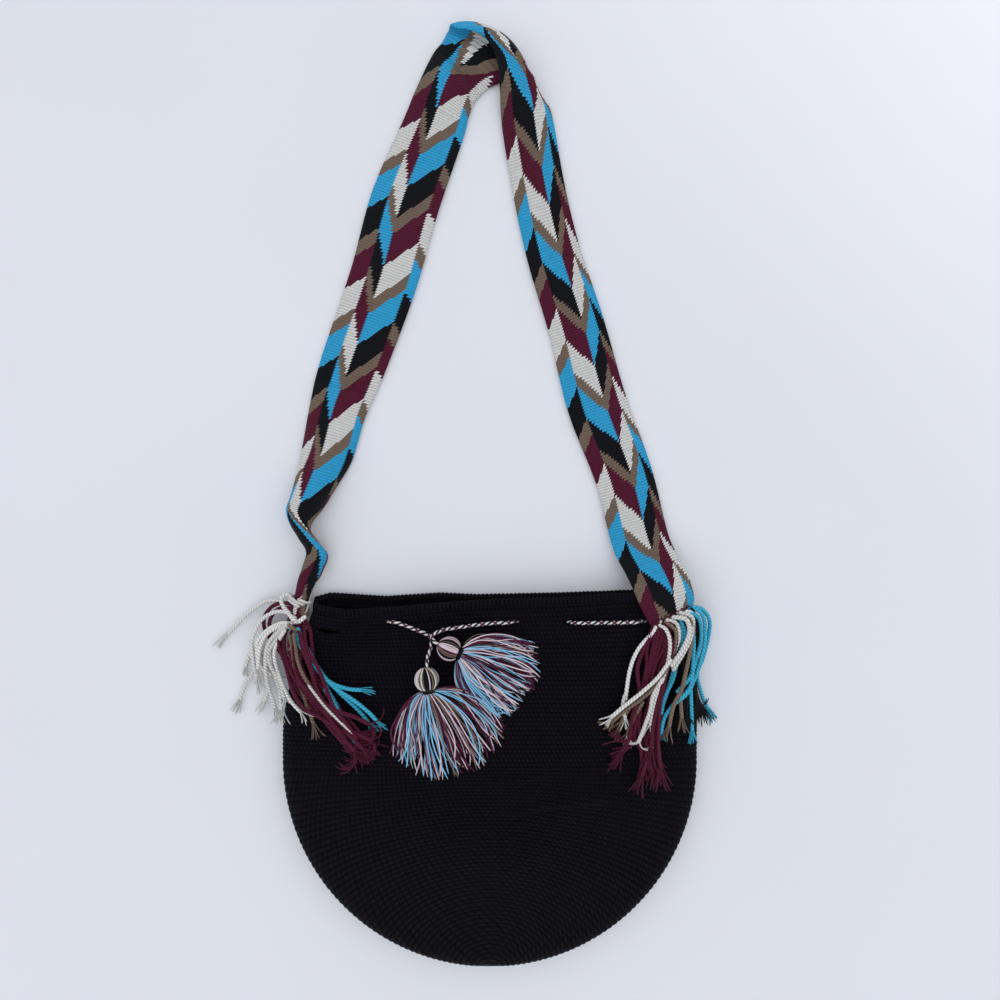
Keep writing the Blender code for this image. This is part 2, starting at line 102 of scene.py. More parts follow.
def spline_at(points: np.ndarray, position: np.ndarray) -> np.ndarray:
    """Read the smooth curve that runs through all the points.

    Args:
        points: One row for each point.
        position: Where to read, counted in points.

    Returns:
        One row for each position.
    """
    last = len(points) - 1
    index = np.minimum(position.astype(int), last - 1)
    t = (position - index)[:, None]
    before, start = points[np.maximum(index - 1, 0)], points[index]
    end, after = points[index + 1], points[np.minimum(index + 2, last)]
    return 0.5 * (
        2 * start
        + (end - before) * t
        + (2 * before - 5 * start + 4 * end - after) * t**2
        + (3 * start - before - 3 * end + after) * t**3
    )


def lengths_along(path: np.ndarray) -> np.ndarray:
    """Distance from a path's start to each of its points."""
    steps = np.linalg.norm(np.diff(path, axis=0), axis=1)
    return np.concatenate([[0.0], np.cumsum(steps)])


def even_path(points: Points, step: float) -> np.ndarray:
    """Points about one step apart along the smooth curve through the given ones.

    Args:
        points: The route's own points.
        step: The wanted spacing.

    Returns:
        The path, one row for each point.
    """
    route = np.array(points, float)
    fine = spline_at(route, np.linspace(0, len(route) - 1, 24 * (len(route) - 1) + 1))
    along = lengths_along(fine)
    count = max(3, round(along[-1] / step))
    wanted = np.linspace(0, along[-1], count + 1)
    return np.stack([np.interp(wanted, along, fine[:, axis]) for axis in range(3)], axis=1)


def carried_frames(path: np.ndarray) -> tuple[np.ndarray, np.ndarray, np.ndarray]:
    """Tangent, side and upward directions along a path, which turn no more than it does."""
    tangent = unit(np.gradient(path, axis=0))
    side = np.empty_like(path)
    first = np.cross(tangent[0], (0.0, 0.0, 1.0))
    if np.linalg.norm(first) < 0.1:
        first = np.array((1.0, 0.0, 0.0))
    for i, ahead in enumerate(tangent):
        first = first - ahead * float(first @ ahead)
        first = first / math.sqrt(float(first @ first))
        side[i] = first
    return tangent, side, np.cross(side, tangent)


# ---------------------------------------------------------------- meshes
PLY_SWELL = 0.13               # how far a cord's plies bulge, as a share of its radius
PLY_SINK = 0.25                # how far the whole cord sinks back, as a share of that


def placed(name: str, data: bpy.types.ID) -> bpy.types.Object:
    """Make an object from its data, at the scene's origin."""
    made = bpy.data.objects.new(name, data)
    bpy.context.scene.collection.objects.link(made)
    return made


def select_none() -> None:
    """Leave no object selected."""
    for other in bpy.context.selected_objects:
        other.select_set(False)


@dataclass
class Strands:
    """Grids of quads, such as strands of yarn, gathered until they become one piece."""

    vertices: list[np.ndarray] = field(default_factory=list)
    quads: list[np.ndarray] = field(default_factory=list)
    quad_uvs: list[np.ndarray] = field(default_factory=list)
    caps: list[tuple[int, ...]] = field(default_factory=list)
    colours: list[np.ndarray] = field(default_factory=list)
    count: int = 0

    def add_rings(self, rings: np.ndarray, uv: np.ndarray, colour: np.ndarray, closed: bool = False) -> None:
        """Add a tube of rings.

        Args:
            rings: Places, by ring, by point round it, by axis.
            uv: The same for the surface pattern, with one point more round each ring.
            colour: A colour for all, or one for each ring and point.
            closed: Whether the last ring joins the first, as in a hoop.
        """
        total, around = rings.shape[:2]
        ids = self.count + np.arange(total * around).reshape(total, around)
        ids = np.concatenate([ids, ids[:, :1]], axis=1)
        if closed:
            ids = np.concatenate([ids, ids[:1]], axis=0)
        corners = ((slice(0, -1), slice(0, -1)), (slice(0, -1), slice(1, None)),
                   (slice(1, None), slice(1, None)), (slice(1, None), slice(0, -1)))
        self.quads.append(np.stack([ids[c] for c in corners], axis=-1).reshape(-1, 4))
        self.quad_uvs.append(np.stack([uv[c] for c in corners], axis=2).reshape(-1, 4, 2))
        if not closed:
            self.caps.append(tuple(int(i) for i in ids[0, :-1][::-1]))
            self.caps.append(tuple(int(i) for i in ids[-1, :-1]))
        self.vertices.append(rings.reshape(-1, 3))
        self.colours.append(np.broadcast_to(colour, (total, around, 3)).reshape(-1, 3))
        self.count += total * around

    def add_strand(self, path: np.ndarray, radius: float, colour: Colour, sides: int = 6,
                   plies: int = 0, ply_pitch: float = 10.0, flat: float = 1.0) -> None:
        """Add one strand of yarn or cord with rounded-off ends.

        Args:
            path: Its centreline.
            radius: Half its thickness.
            colour: Its yarn.
            sides: Points round it.
            plies: How many plies bulge out of it, or 0 for a smooth strand.
            ply_pitch: Length of one full twist.
            flat: Its height as a share of its width.
        """
        tangent, side, up = carried_frames(path)
        along = lengths_along(path)
        ends = np.minimum(along, along[-1] - along)
        taper = quarter_round(0.12 + ends / (radius * 0.9))
        turn = 2 * math.pi * np.arange(sides) / sides
        swell = np.ones((len(path), sides))
        if plies:
            phase = plies * (turn[None, :] - 2 * math.pi * along[:, None] / ply_pitch)
            swell += PLY_SWELL * (np.cos(phase) - PLY_SINK)
        size = radius * taper[:, None] * swell
        rings = (
            path[:, None, :]
            + side[:, None, :] * (size * np.cos(turn))[:, :, None]
            + up[:, None, :] * (flat * size * np.sin(turn))[:, :, None]
        )
        uv = pattern_grid(along / ply_pitch, np.linspace(0, 1, sides + 1))
        self.add_rings(rings, uv, np.array(colour))

    def make(self, name: str, finish: bpy.types.Material) -> bpy.types.Object:
        """Turn all that was gathered into one smooth piece, in metres.

        Args:
            name: The piece's name.
            finish: Its material.

        Returns:
            The object, at the origin.
        """
        vertices = np.concatenate(self.vertices) * MM
        quads = np.concatenate(self.quads)
        mesh = bpy.data.meshes.new(name)
        mesh.from_pydata(vertices.tolist(), [], quads.tolist() + self.caps)
        spread = np.zeros((len(mesh.loops), 2))
        flat_uvs = np.concatenate(self.quad_uvs).reshape(-1, 2)
        spread[: len(flat_uvs)] = flat_uvs
        mesh.uv_layers.new(name="pattern").data.foreach_set("uv", spread.ravel())
        tint = mesh.color_attributes.new("yarn", "FLOAT_COLOR", "POINT")
        colours = np.concatenate(self.colours)
        with_alpha = np.concatenate([colours, np.ones((len(colours), 1))], axis=1)
        tint.data.foreach_set("color", with_alpha.ravel())
        mesh.shade_smooth()
        mesh.materials.append(finish)
        return placed(name, mesh)


def settle(piece: bpy.types.Object, slot: str, *nodes: str) -> bpy.types.Object:
    """Tie a finished piece to the frame and report it.

    Args:
        piece: The piece.
        slot: Not used.
        nodes: The plain nodes that it stands for.

    Returns:
        The same piece.
    """
    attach(piece, "root")
    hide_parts(*nodes)
    LOG.info("%s: %d faces", piece.name, len(piece.data.polygons))
    return piece


# ---------------------------------------------------------------- finishes
class Shading:
    """The nodes of one material, wired step by step."""

    def __init__(self, name: str) -> None:
        """Start a material with a plain shader."""
        self.material = bpy.data.materials.new(name)
        self.material.use_nodes = True
        self.nodes = self.material.node_tree.nodes
        self.links = self.material.node_tree.links
        self.shader = self.nodes["Principled BSDF"]

    def set(self, **values: object) -> None:
        """Set the shader's own sockets, an underscore in a name standing for a space."""
        for name, value in values.items():
            self.shader.inputs[name.replace("_", " ")].default_value = value

    def feed(self, socket: bpy.types.NodeSocket, value: object) -> None:
        """Wire a socket into an input, or write a plain number there."""
        if isinstance(value, bpy.types.NodeSocket):
            self.links.new(value, socket)
        else:
            socket.default_value = value

    def math(self, operation: str, first: object, second: object = 0.0,
             clamp: bool = False) -> bpy.types.NodeSocket:
        """One Math node's result, kept between 0 and 1 if clamp is set."""
        node = self.nodes.new("ShaderNodeMath")
        node.operation = operation
        node.use_clamp = clamp
        self.feed(node.inputs[0], first)
        self.feed(node.inputs[1], second)
        return node.outputs[0]

    def pattern_place(self) -> tuple[bpy.types.NodeSocket, bpy.types.NodeSocket]:
        """The two coordinates of the piece's own pattern map."""
        place = self.nodes.new("ShaderNodeUVMap")
        place.uv_map = "pattern"
        split = self.nodes.new("ShaderNodeSeparateXYZ")
        self.links.new(place.outputs[0], split.inputs[0])
        return split.outputs[0], split.outputs[1]

    def noise(self, scale: float, detail: float = 3.0) -> bpy.types.NodeSocket:
        """Noise over the object's own space, with scale in patches to a metre."""
        place = self.nodes.new("ShaderNodeTexCoord")
        node = self.nodes.new("ShaderNodeTexNoise")
        self.links.new(place.outputs["Object"], node.inputs["Vector"])
        node.inputs["Scale"].default_value = scale
        node.inputs["Detail"].default_value = detail
        return node.outputs["Fac"]

    def spread(self, value: object, low: float, high: float) -> bpy.types.NodeSocket:
        """Stretch a number from 0 to 1 so that it runs from low to high."""
        node = self.nodes.new("ShaderNodeMapRange")
        self.feed(node.inputs["Value"], value)
        node.inputs["To Min"].default_value = low
        node.inputs["To Max"].default_value = high
        return node.outputs[0]

    def shade(self, colour: object, brightness: object) -> bpy.types.NodeSocket:
        """A colour multiplied by a brightness."""
        node = self.nodes.new("ShaderNodeVectorMath")
        node.operation = "SCALE"
        self.feed(node.inputs[0], colour)
        self.feed(node.inputs["Scale"], brightness)
        return node.outputs[0]

    def bump(self, height: object, depth: float, below: object = None) -> bpy.types.NodeSocket:
        """A surface normal from a height, with depth in metres, over another normal."""
        node = self.nodes.new("ShaderNodeBump")
        node.inputs["Distance"].default_value = depth
        self.feed(node.inputs["Height"], height)
        if below is not None:
            self.links.new(below, node.inputs["Normal"])
        return node.outputs[0]

    def wave(self, phase: object) -> bpy.types.NodeSocket:
        """A rounded bump, 0 at whole numbers and 1 halfway between them."""
        return self.math("ABSOLUTE", self.math("SINE", self.math("MULTIPLY", phase, math.pi)))

    def finish(self, colour: object, normal: object) -> bpy.types.Material:
        """Wire the colour and the normal into the shader, and hand the material over."""
        self.links.new(colour, self.shader.inputs["Base Color"])
        self.links.new(normal, self.shader.inputs["Normal"])
        return self.material


@dataclass(frozen=True)
class YarnFinish:
    """Plied yarn. Each strand holds its colour, and its twist follows its length. The colour carries painted
    shade in the grooves between plies.
    """

    name: str
    plies: int = 3
    # how bright the painted shade leaves the yarn in the grooves between plies
    groove: float = 0.55
    depth: float = 0.00035
    roughness: float = 0.72
    sheen: float = 0.04

    def make(self) -> bpy.types.Material:
        """Build the material."""
        cloth = Shading(self.name)
        cloth.set(Roughness=self.roughness, Sheen_Weight=self.sheen, Sheen_Roughness=0.4,
                  Specular_IOR_Level=0.16)
        along, around = cloth.pattern_place()
        twist = cloth.math("SUBTRACT", cloth.math("MULTIPLY", around, float(self.plies)),
                           cloth.math("MULTIPLY", along, float(self.plies)))
        ply = cloth.wave(twist)
        tint = cloth.nodes.new("ShaderNodeAttribute")
        tint.attribute_name = "yarn"
        # painted shade: the yarn's colour darkens in the grooves between its plies
        shaded = cloth.shade(tint.outputs["Color"], cloth.spread(ply, self.groove, 1.08))
        mottled = cloth.shade(shaded, cloth.spread(cloth.noise(900.0), 0.82, 1.18))
        return cloth.finish(mottled, cloth.bump(ply, self.depth))


@dataclass(frozen=True)
class CrochetFinish:
    """Tight crochet. The map counts stitches one way and rounds the other."""

    name: str
    colour: Colour
    slant: float = 0.35
    depth: float = 0.0011

    def make(self) -> bpy.types.Material:
        """Build the material."""
        cloth = Shading(self.name)
        cloth.set(Roughness=0.70, Sheen_Weight=0.035, Sheen_Roughness=0.22, Specular_IOR_Level=0.05)
        cloth.shader.inputs["Sheen Tint"].default_value = (0.45, 0.60, 1.0, 1.0)
        stitch, course = cloth.pattern_place()
        lean = cloth.math("MULTIPLY", cloth.math("FRACT", course), self.slant)
        half = cloth.math("MULTIPLY", cloth.math("FLOOR", course), 0.5)
        across = cloth.math("ADD", stitch, cloth.math("ADD", lean, half))
        loop = cloth.math("POWER", cloth.wave(across), 0.6)
        ridge = cloth.math("POWER", cloth.wave(course), 0.8)
        height = cloth.math("MULTIPLY", loop, ridge)
        patchy = cloth.spread(cloth.noise(260.0), 0.55, 1.5)
        # painted shade between the loops and rounds and a painted highlight on their crests, times a random
        # patchy tone
        stitch_shade_and_patches = cloth.math("MULTIPLY", cloth.spread(height, 0.25, 1.45), patchy)
        colour = cloth.nodes.new("ShaderNodeRGB")
        colour.outputs[0].default_value = (*self.colour, 1.0)
        fuzz = cloth.bump(cloth.noise(2600.0), 0.0003)
        return cloth.finish(cloth.shade(colour.outputs[0], stitch_shade_and_patches), cloth.bump(height, self.depth, fuzz))


@dataclass(frozen=True)
class WeaveFinish:
    """The strap's weave: slanting stitches in rows, coloured in interlocking lozenges.

    The map gives millimetres from the top of the strap one way, and from the band's middle
    the other way. Four columns of slanting stripes meet at three seams. The piece holds the
    seams' places, and the last column's steepness, in its own "seams" attribute.
    """

    name: str
    row: float = 2.45
    stitch: float = 1.5
    slant: float = 1.1             # how many stitches one leans over within its row
    stripe: float = 14.2           # length of half a broad stripe along the strap
    zigzag: float = 28.9           # how far a stripe runs along the strap across a middle column
    edge_steepness: float = 1.2    # how far it runs for each step across the first column
    depth: float = 0.0006
    start: float = 2.0             # where in the repeat the first column begins, in half stripes
    jumps: tuple[float, ...] = (-2.0, 5.0, 2.0)    # what each seam adds to that
    repeat: float = 10.0           # half stripes before the colours come round again

    def make(self) -> bpy.types.Material:
        """Build the material."""
        cloth = Shading(self.name)
        cloth.set(Roughness=0.78, Sheen_Weight=0.04, Sheen_Roughness=0.4, Specular_IOR_Level=0.14)
        along, across = cloth.pattern_place()
        rows = cloth.math("DIVIDE", along, self.row)
        in_row = cloth.math("FRACT", rows)
        leaning = cloth.math("MULTIPLY", in_row, self.slant)
        stitches = cloth.math("ADD", cloth.math("DIVIDE", across, self.stitch), leaning)
        middle = cloth.math("MULTIPLY", cloth.math("ADD", cloth.math("FLOOR", rows), 0.5), self.row)
        place = cloth.math("ADD", cloth.math("FLOOR", stitches), 0.5 - self.slant / 2)
        place = cloth.math("MULTIPLY", place, self.stitch)
        colour = self.stripes(cloth, middle, place)
        bead = cloth.math("POWER", cloth.wave(in_row), 0.5)
        cord = cloth.math("POWER", cloth.wave(stitches), 0.5)
        height = cloth.math("MULTIPLY", bead, cord)
        # painted shade: the colour darkens in the gaps between stitches and between rows
        gap_shaded = cloth.shade(colour, cloth.spread(height, 0.56, 1.08))
        mottled = cloth.shade(gap_shaded, cloth.spread(cloth.noise(420.0), 0.84, 1.16))
        return cloth.finish(mottled, cloth.bump(height, self.depth))

    def stripes(self, cloth: Shading, along: bpy.types.NodeSocket,
                across: bpy.types.NodeSocket) -> bpy.types.NodeSocket:
        """Colour of the stitch that stands at a place on the band.

        Args:
            cloth: The material's nodes.
            along: Distance from the strap's top.
            across: Distance from the band's middle.

        Returns:
            The stitch's colour.
        """
        held = cloth.nodes.new("ShaderNodeAttribute")
        held.attribute_name = "seams"
        split = cloth.nodes.new("ShaderNodeSeparateXYZ")
        cloth.links.new(held.outputs["Vector"], split.inputs[0])
        seams = split.outputs[:3]
        past = [cloth.math("SUBTRACT", across, seam) for seam in seams]
        climbs = [cloth.math("DIVIDE", past[i], cloth.math("SUBTRACT", seams[i + 1], seams[i]), clamp=True)
                  for i in range(2)]
        rise = cloth.math("MULTIPLY", cloth.math("SUBTRACT", climbs[0], climbs[1]), self.zigzag)
        before = cloth.math("MAXIMUM", cloth.math("MULTIPLY", past[0], -self.edge_steepness), 0.0)
        after = cloth.math("MULTIPLY", cloth.math("MAXIMUM", past[2], 0.0), held.outputs["Alpha"])
        rise = cloth.math("ADD", rise, cloth.math("ADD", before, after))
        place = cloth.math("DIVIDE", cloth.math("SUBTRACT", along, rise), self.stripe)
        place = cloth.math("ADD", place, self.start)
        for beyond, jump in zip(past, self.jumps):
            step = cloth.math("GREATER_THAN", beyond, 0.0)
            place = cloth.math("ADD", place, cloth.math("MULTIPLY", step, jump))
        share = cloth.math("FRACT", cloth.math("DIVIDE", place, self.repeat))
        ramp = cloth.nodes.new("ShaderNodeValToRGB")
        ramp.color_ramp.interpolation = "CONSTANT"
        cloth.links.new(share, ramp.inputs[0])
        bands = ((0.0, Yarn.BLUE), (0.2, Yarn.BLACK), (0.4, Yarn.TAUPE), (0.5, Yarn.MAROON),
                 (0.7, Yarn.OFF_WHITE), (0.9, Yarn.TAUPE))
        stops = ramp.color_ramp.elements
        while len(stops) < len(bands):
            stops.new(1.0)
        for stop, (start, yarn) in zip(stops, bands):
            stop.position = start
            stop.color = (*yarn.value, 1.0)
        return ramp.outputs[0]


# ---------------------------------------------------------------- the bag
@dataclass(frozen=True)
class BagShape:
    """The pouch's outline and the heights of its two layers."""

    radius: float = 177.4
    round_centre_y: float = 22.7
    rim_y: float = 162.0
    rim_left_x: float = -150.0
    rim_right_x: float = 170.0
    wall: float = 3.5
    edge_mid_z: float = 11.0
    edge_top_z: float = 22.0
    edge_rounding: float = 15.0
    belly_rise: float = 10.0
    belly_reach: float = 110.0
    rim_settle: float = 0.55
    back_lift: float = 4.5
    back_lift_from_y: float = 103.0
    back_lift_to_y: float = 132.0

    def side_x(self, y: np.ndarray) -> tuple[np.ndarray, np.ndarray]:
        """Left and right limits of the bag at a height y along it."""
        half = np.sqrt(np.maximum(0.0, self.radius**2 - np.minimum(y - self.round_centre_y, 0) ** 2))
        pull = smooth_step(y, self.round_centre_y + 20, self.rim_y + 45)
        pull = pull / smooth_step(self.rim_y, self.round_centre_y + 20, self.rim_y + 45)
        left = -half + (self.rim_left_x + self.radius) * pull
        right = half + (self.rim_right_x - self.radius) * pull
        return left, right

    def depth(self, x: np.ndarray, y: np.ndarray) -> np.ndarray:
        """Distance inwards from the outline, negative outside it."""
        left, right = self.side_x(y)
        on_round = self.radius - np.hypot(x, y - self.round_centre_y)
        return np.where(y <= self.round_centre_y, on_round, np.minimum(x - left, right - x))

    def front(self, x: np.ndarray, y: np.ndarray) -> np.ndarray:
        """Height of the front layer's outer face."""
        inside = np.maximum(self.depth(x, y), 0.0)
        swell = self.belly_rise * smooth_step(inside, 0, self.belly_reach)
        swell = swell * (1 - self.rim_settle * smooth_step(y, self.round_centre_y + 30, self.rim_y))
        rise = self.edge_top_z - self.edge_mid_z
        return self.edge_mid_z + rise * quarter_round(inside / self.edge_rounding) + swell

    def back(self, x: np.ndarray, y: np.ndarray) -> np.ndarray:
        """Height of the back layer's outer face, which lies on the ground."""
        lift = self.back_lift * smooth_step(y, self.back_lift_from_y, self.back_lift_to_y)
        inside = np.maximum(self.depth(x, y), 0.0)
        return lift + (self.edge_mid_z - lift) * (1 - quarter_round(inside / self.edge_rounding))

    def ground(self, x: np.ndarray, y: np.ndarray) -> np.ndarray:
        """Height of what a loose cord rests on: the bag's front, or the surface beside it."""
        outside = np.maximum(-self.depth(x, y), 0.0)
        return self.front(x, y) * (1 - smooth_step(outside, 0, 12))

    def plan(self, row: np.ndarray, across: np.ndarray) -> tuple[np.ndarray, np.ndarray]:
        """Place in plan of a point on a crochet round.

        Args:
            row: Below 1, a round on the curved bottom, which meets the outline at right
                angles. From 1 to 2, a straight round up the wall.
            across: From -1 at the left fold to 1 at the right fold.

        Returns:
            x and y.
        """
        angle = np.minimum(row, 0.9999) * math.pi / 2
        radius = self.radius * np.tan(angle)
        turn = math.pi / 2 - across * (math.pi / 2 - angle)
        low_y = self.round_centre_y - self.radius / np.cos(angle) + radius * np.sin(turn)
        high_y = self.round_centre_y + (self.rim_y - self.round_centre_y) * np.maximum(row - 1, 0)
        left, right = self.side_x(high_y)
        high_x = (left + right) / 2 + across * (right - left) / 2
        on_wall = row >= 1
        return np.where(on_wall, high_x, radius * np.cos(turn)), np.where(on_wall, high_y, low_y)


@dataclass(frozen=True)
class Crease:
    """A soft ridge, or with a negative height a hollow, along a line on the bag's front."""

    start: tuple[float, float]
    end: tuple[float, float]
    height: float
    width: float

    def raise_by(self, x: np.ndarray, y: np.ndarray) -> np.ndarray:
        """How much the crease lifts the surface at each place."""
        start, end = np.array(self.start), np.array(self.end)
        run = end - start
        share = np.clip(((x - start[0]) * run[0] + (y - start[1]) * run[1]) / float(run @ run), 0, 1)
        away = np.hypot(x - start[0] - share * run[0], y - start[1] - share * run[1])
        return self.height * np.exp(-((away / self.width) ** 2))


@dataclass(frozen=True)
class Eyelet:
    """A slit between stitches that the drawstring runs through."""

    x: float
    y: float
    width: float
    height: float

    def reach(self, x: np.ndarray, y: np.ndarray) -> np.ndarray:
        """1 on the slit's edge, less inside it."""
        return np.hypot((x - self.x) / (self.width / 2), (y - self.y) / (self.height / 2))


@dataclass
class Bag:
    """The crocheted pouch: a front and a back layer in ribbed rounds, and the mouth's edge."""

    shape: BagShape
    round_courses: int = 52
    wall_courses: int = 37
    rows_per_course: int = 3
    front_columns: int = 166
    back_columns: int = 140
    seam_columns: int = 6          # columns of the underside that belong to the front piece
    rib_height: float = 0.62
    stitch_width: float = 3.6
    eyelet_width: float = 14.0
    eyelet_height: float = 4.6
    front_eyelets: tuple[float, ...] = (-84.0, 19.0, 69.0, 127.0)
    back_eyelets: tuple[float, ...] = (-110.0, -50.0, 50.0, 110.0)
    eyelet_y: float = 142.0
    side_slit: Eyelet = Eyelet(-140.5, 134.0, 29.0, 4.8)     # where the front gapes by the left fold
    wall_share: float = 0.8        # how thick a layer is made, as a share of the pouch's wall
    unevenness: float = 0.5        # height of the slow hollows and swellings in front
    edge_drop: float = 1.2         # how far the mouth's edge sits below the last round
    edge_step: float = 1.1
    edge_twist: float = 3.5        # distance between the edge's slanting stitches
    edge_grain: float = 3.2        # length of one stitch of the edge's finish
    edge_swell: float = 0.16
    edge_half_height: float = 3.3
    edge_half_width: float = 2.5
    front_dip: Points = field(default_factory=lambda: [
        (-150, -6), (-121, -10.5), (-84, -8), (-50, -4.5), (9, -1), (59, 0.5), (110, 3.5), (170, 4)])
    back_dip: Points = field(default_factory=lambda: [
        (-150, -1), (-138, 2), (-90, -1), (-43, 2), (-13, 0.5), (60, 2), (130, 4.5), (170, 4)])
    creases: tuple[Crease, ...] = (
        Crease((-88, 147), (-42, 149), 2.6, 4.2),
        Crease((-76, 142.5), (-50, 144), -1.8, 3.2),
        Crease((-152, 141), (-122, 143), 2.6, 3.4),
        Crease((-146, 127), (-128, 129), 1.6, 3.0),
        Crease((50, 152), (96, 155), 2.2, 4.5),
        Crease((66, 145.5), (92, 148), -1.6, 3.0),
        Crease((5, 148), (34, 148), 1.4, 4.0),
        Crease((2, 9), (40, 15), 0.9, 3.4),
        Crease((40, 15), (80, 19), 1.1, 3.6),
        Crease((20, -17), (60, -8), 1.0, 3.2),
        Crease((60, -8), (112, -5), 1.2, 3.6),
        Crease((22, -21), (62, -12), -0.8, 2.6),
    )

    def rows(self) -> tuple[np.ndarray, np.ndarray]:
        """Row places of the mesh, and the crochet course that each is on."""
        angles = np.linspace(0, math.pi / 2, 400)
        climb = (angles + 1 - np.tan(math.pi / 4 - angles / 2)) / 2
        course = np.arange(0.4, self.round_courses + self.wall_courses + 1e-6, 1 / self.rows_per_course)
        course = np.concatenate([[0.0], np.round(course * self.rows_per_course) / self.rows_per_course])
        low = np.interp(course / self.round_courses, climb / climb[-1], angles) / (math.pi / 2)
        high = 1 + (course - self.round_courses) / self.wall_courses
        return np.where(course < self.round_courses, low, high), course

    def columns(self, count: int, height: object) -> np.ndarray:
        """Places across a layer, from -1 to 1, evenly spaced over its curved section."""
        across = -np.cos(np.linspace(0, math.pi, 3000))
        x, y = self.shape.plan(np.full(3000, 1.3), across)
        along = lengths_along(np.stack([x, height(x, y)], axis=1))
        return np.interp(np.linspace(0, along[-1], count + 1), along, across)

    def skin(self) -> tuple[np.ndarray, np.ndarray]:
        """The outer skin's grid: places by row and column, and the pattern map."""
        rows, course = self.rows()
        front = self.columns(self.front_columns, self.shape.front)
        back = self.columns(self.back_columns, self.shape.back)[::-1]
        across = np.concatenate([front, back[1:-1]])
        is_front = np.arange(len(across)) <= self.front_columns
        row, side = np.meshgrid(rows, across, indexing="ij")
        x, y = self.shape.plan(row, side)
        z = np.where(is_front, self.shape.front(x, y), self.shape.back(x, y))
        near_rim = smooth_step(y, 100, self.shape.rim_y)
        dips = [np.interp(x, *np.array(dip, float).T) for dip in (self.front_dip, self.back_dip)]
        y = y + near_rim * np.where(is_front, dips[0], dips[1])
        for crease in self.creases:
            z = z + np.where(is_front, crease.raise_by(x, y), 0.0) * smooth_step(self.shape.depth(x, y), 0, 8)
        swell = np.sin(x / 17 + y / 29) * np.sin(y / 21 - x / 41) + 0.6 * np.sin(x / 9.7 - y / 13.1)
        z = z + np.where(is_front, self.unevenness * swell * smooth_step(self.shape.depth(x, y), 4, 40), 0.0)
        places = np.stack([x, y, z], axis=-1)
        rib = np.sin(math.pi * (course % 1)) * self.rib_height * smooth_step(course, 1, 4)
        places = places + self.outward(places) * rib[:, None, None]
        places[..., 2] = np.maximum(places[..., 2], 0.05)
        arc = self.shape.radius * side
        stitches = arc * np.minimum(1.0, row) / self.stitch_width
        return places, np.stack([stitches, np.broadcast_to(course[:, None], row.shape)], axis=-1)

    @staticmethod
    def outward(places: np.ndarray) -> np.ndarray:
        """Unit normals of the skin, pointing out of the bag."""
        wrapped = np.concatenate([places[:, -1:], places, places[:, :1]], axis=1)
        across = wrapped[:, 2:] - wrapped[:, :-2]
        along = np.gradient(places, axis=0)
        normal = np.cross(across, along)
        size = np.linalg.norm(normal, axis=-1, keepdims=True)
        return normal / np.maximum(size, 1e-9)

    def layer(self, name: str, places: np.ndarray, pattern: np.ndarray, eyelets: list[Eyelet],
              finish: bpy.types.Material) -> bpy.types.Object:
        """Make one layer of the bag from its part of the skin, with its wall and its eyelets.

        Args:
            name: The piece's name.
            places: The outer skin.
            pattern: Its pattern map.
            eyelets: The slits to open.
            finish: Its material.

        Returns:
            The piece.
        """
        rows, columns = places.shape[:2]
        ids = np.arange(rows * columns).reshape(rows, columns)
        quads = np.stack([ids[:-1, :-1], ids[:-1, 1:], ids[1:, 1:], ids[1:, :-1]], axis=-1).reshape(-1, 4)
        flat = places.reshape(-1, 3).copy()
        for eyelet in eyelets:
            reach = eyelet.reach(flat[:, 0], flat[:, 1])
            quads = quads[(reach[quads] >= 1).any(axis=1)]
            inside = np.isin(np.arange(len(flat)), quads) & (reach < 1)
            pull = (1 / np.maximum(reach[inside], 0.2))[:, None]
            centre = np.array((eyelet.x, eyelet.y))
            flat[inside, :2] = centre + (flat[inside, :2] - centre) * pull
        mesh = bpy.data.meshes.new(name)
        mesh.from_pydata((flat * MM).tolist(), [], quads.tolist())
        uvs = pattern.reshape(-1, 2)[quads.ravel()]
        mesh.uv_layers.new(name="pattern").data.foreach_set("uv", uvs.ravel())
        work = bmesh.new()
        work.from_mesh(mesh)
        bmesh.ops.remove_doubles(work, verts=work.verts, dist=1e-7)
        bmesh.ops.delete(work, geom=[v for v in work.verts if not v.link_faces], context="VERTS")
        work.to_mesh(mesh)
        work.free()
        mesh.materials.append(finish)
        piece = placed(name, mesh)
        select_none()
        bpy.context.view_layer.objects.active = piece
        piece.select_set(True)
        wall = piece.modifiers.new("wall", "SOLIDIFY")
        wall.thickness = self.shape.wall * self.wall_share * MM
        wall.offset = -1
        bpy.ops.object.modifier_apply(modifier=wall.name)
        bpy.ops.object.shade_smooth_by_angle(angle=math.radians(65))
        return piece

    def mouth_edge(self, places: np.ndarray, finish: bpy.types.Material) -> bpy.types.Object:
        """Make the edge round the mouth: a flat rope of slanting stitches."""
        strands = Strands()
        inward = self.outward(places)[-1] * -self.shape.wall * self.wall_share / 2
        ring = places[-1] + inward
        ring[:, 1] -= self.edge_drop
        closed = np.concatenate([ring, ring[:1]])
        along = lengths_along(closed)
        count = round(along[-1] / self.edge_step)
        wanted = np.linspace(0, along[-1], count, endpoint=False)
        path = np.stack([np.interp(wanted, along, closed[:, axis]) for axis in range(3)], axis=1)
        around = 12
        turn = 2 * math.pi * np.arange(around) / around
        tangent = unit(np.roll(path, -1, axis=0) - np.roll(path, 1, axis=0))
        upward = unit(np.array((0.0, 1.0, 0.0)) - tangent * tangent[:, 1:2])
        side = np.cross(tangent, upward)
        twist = wanted[:, None] / self.edge_twist * 2 * math.pi - turn * 2
        swell = 1 + self.edge_swell * np.cos(twist)
        rings = (path[:, None] + upward[:, None] * (self.edge_half_height * swell * np.cos(turn))[:, :, None]
                 + side[:, None] * (self.edge_half_width * swell * np.sin(turn))[:, :, None])
        uv = pattern_grid(np.arange(count + 1) / self.edge_grain, np.linspace(0, 2, around + 1))
        strands.add_rings(rings, uv, np.array(Yarn.BLACK.value), closed=True)
        return strands.make("bag_mouth_edge", finish)

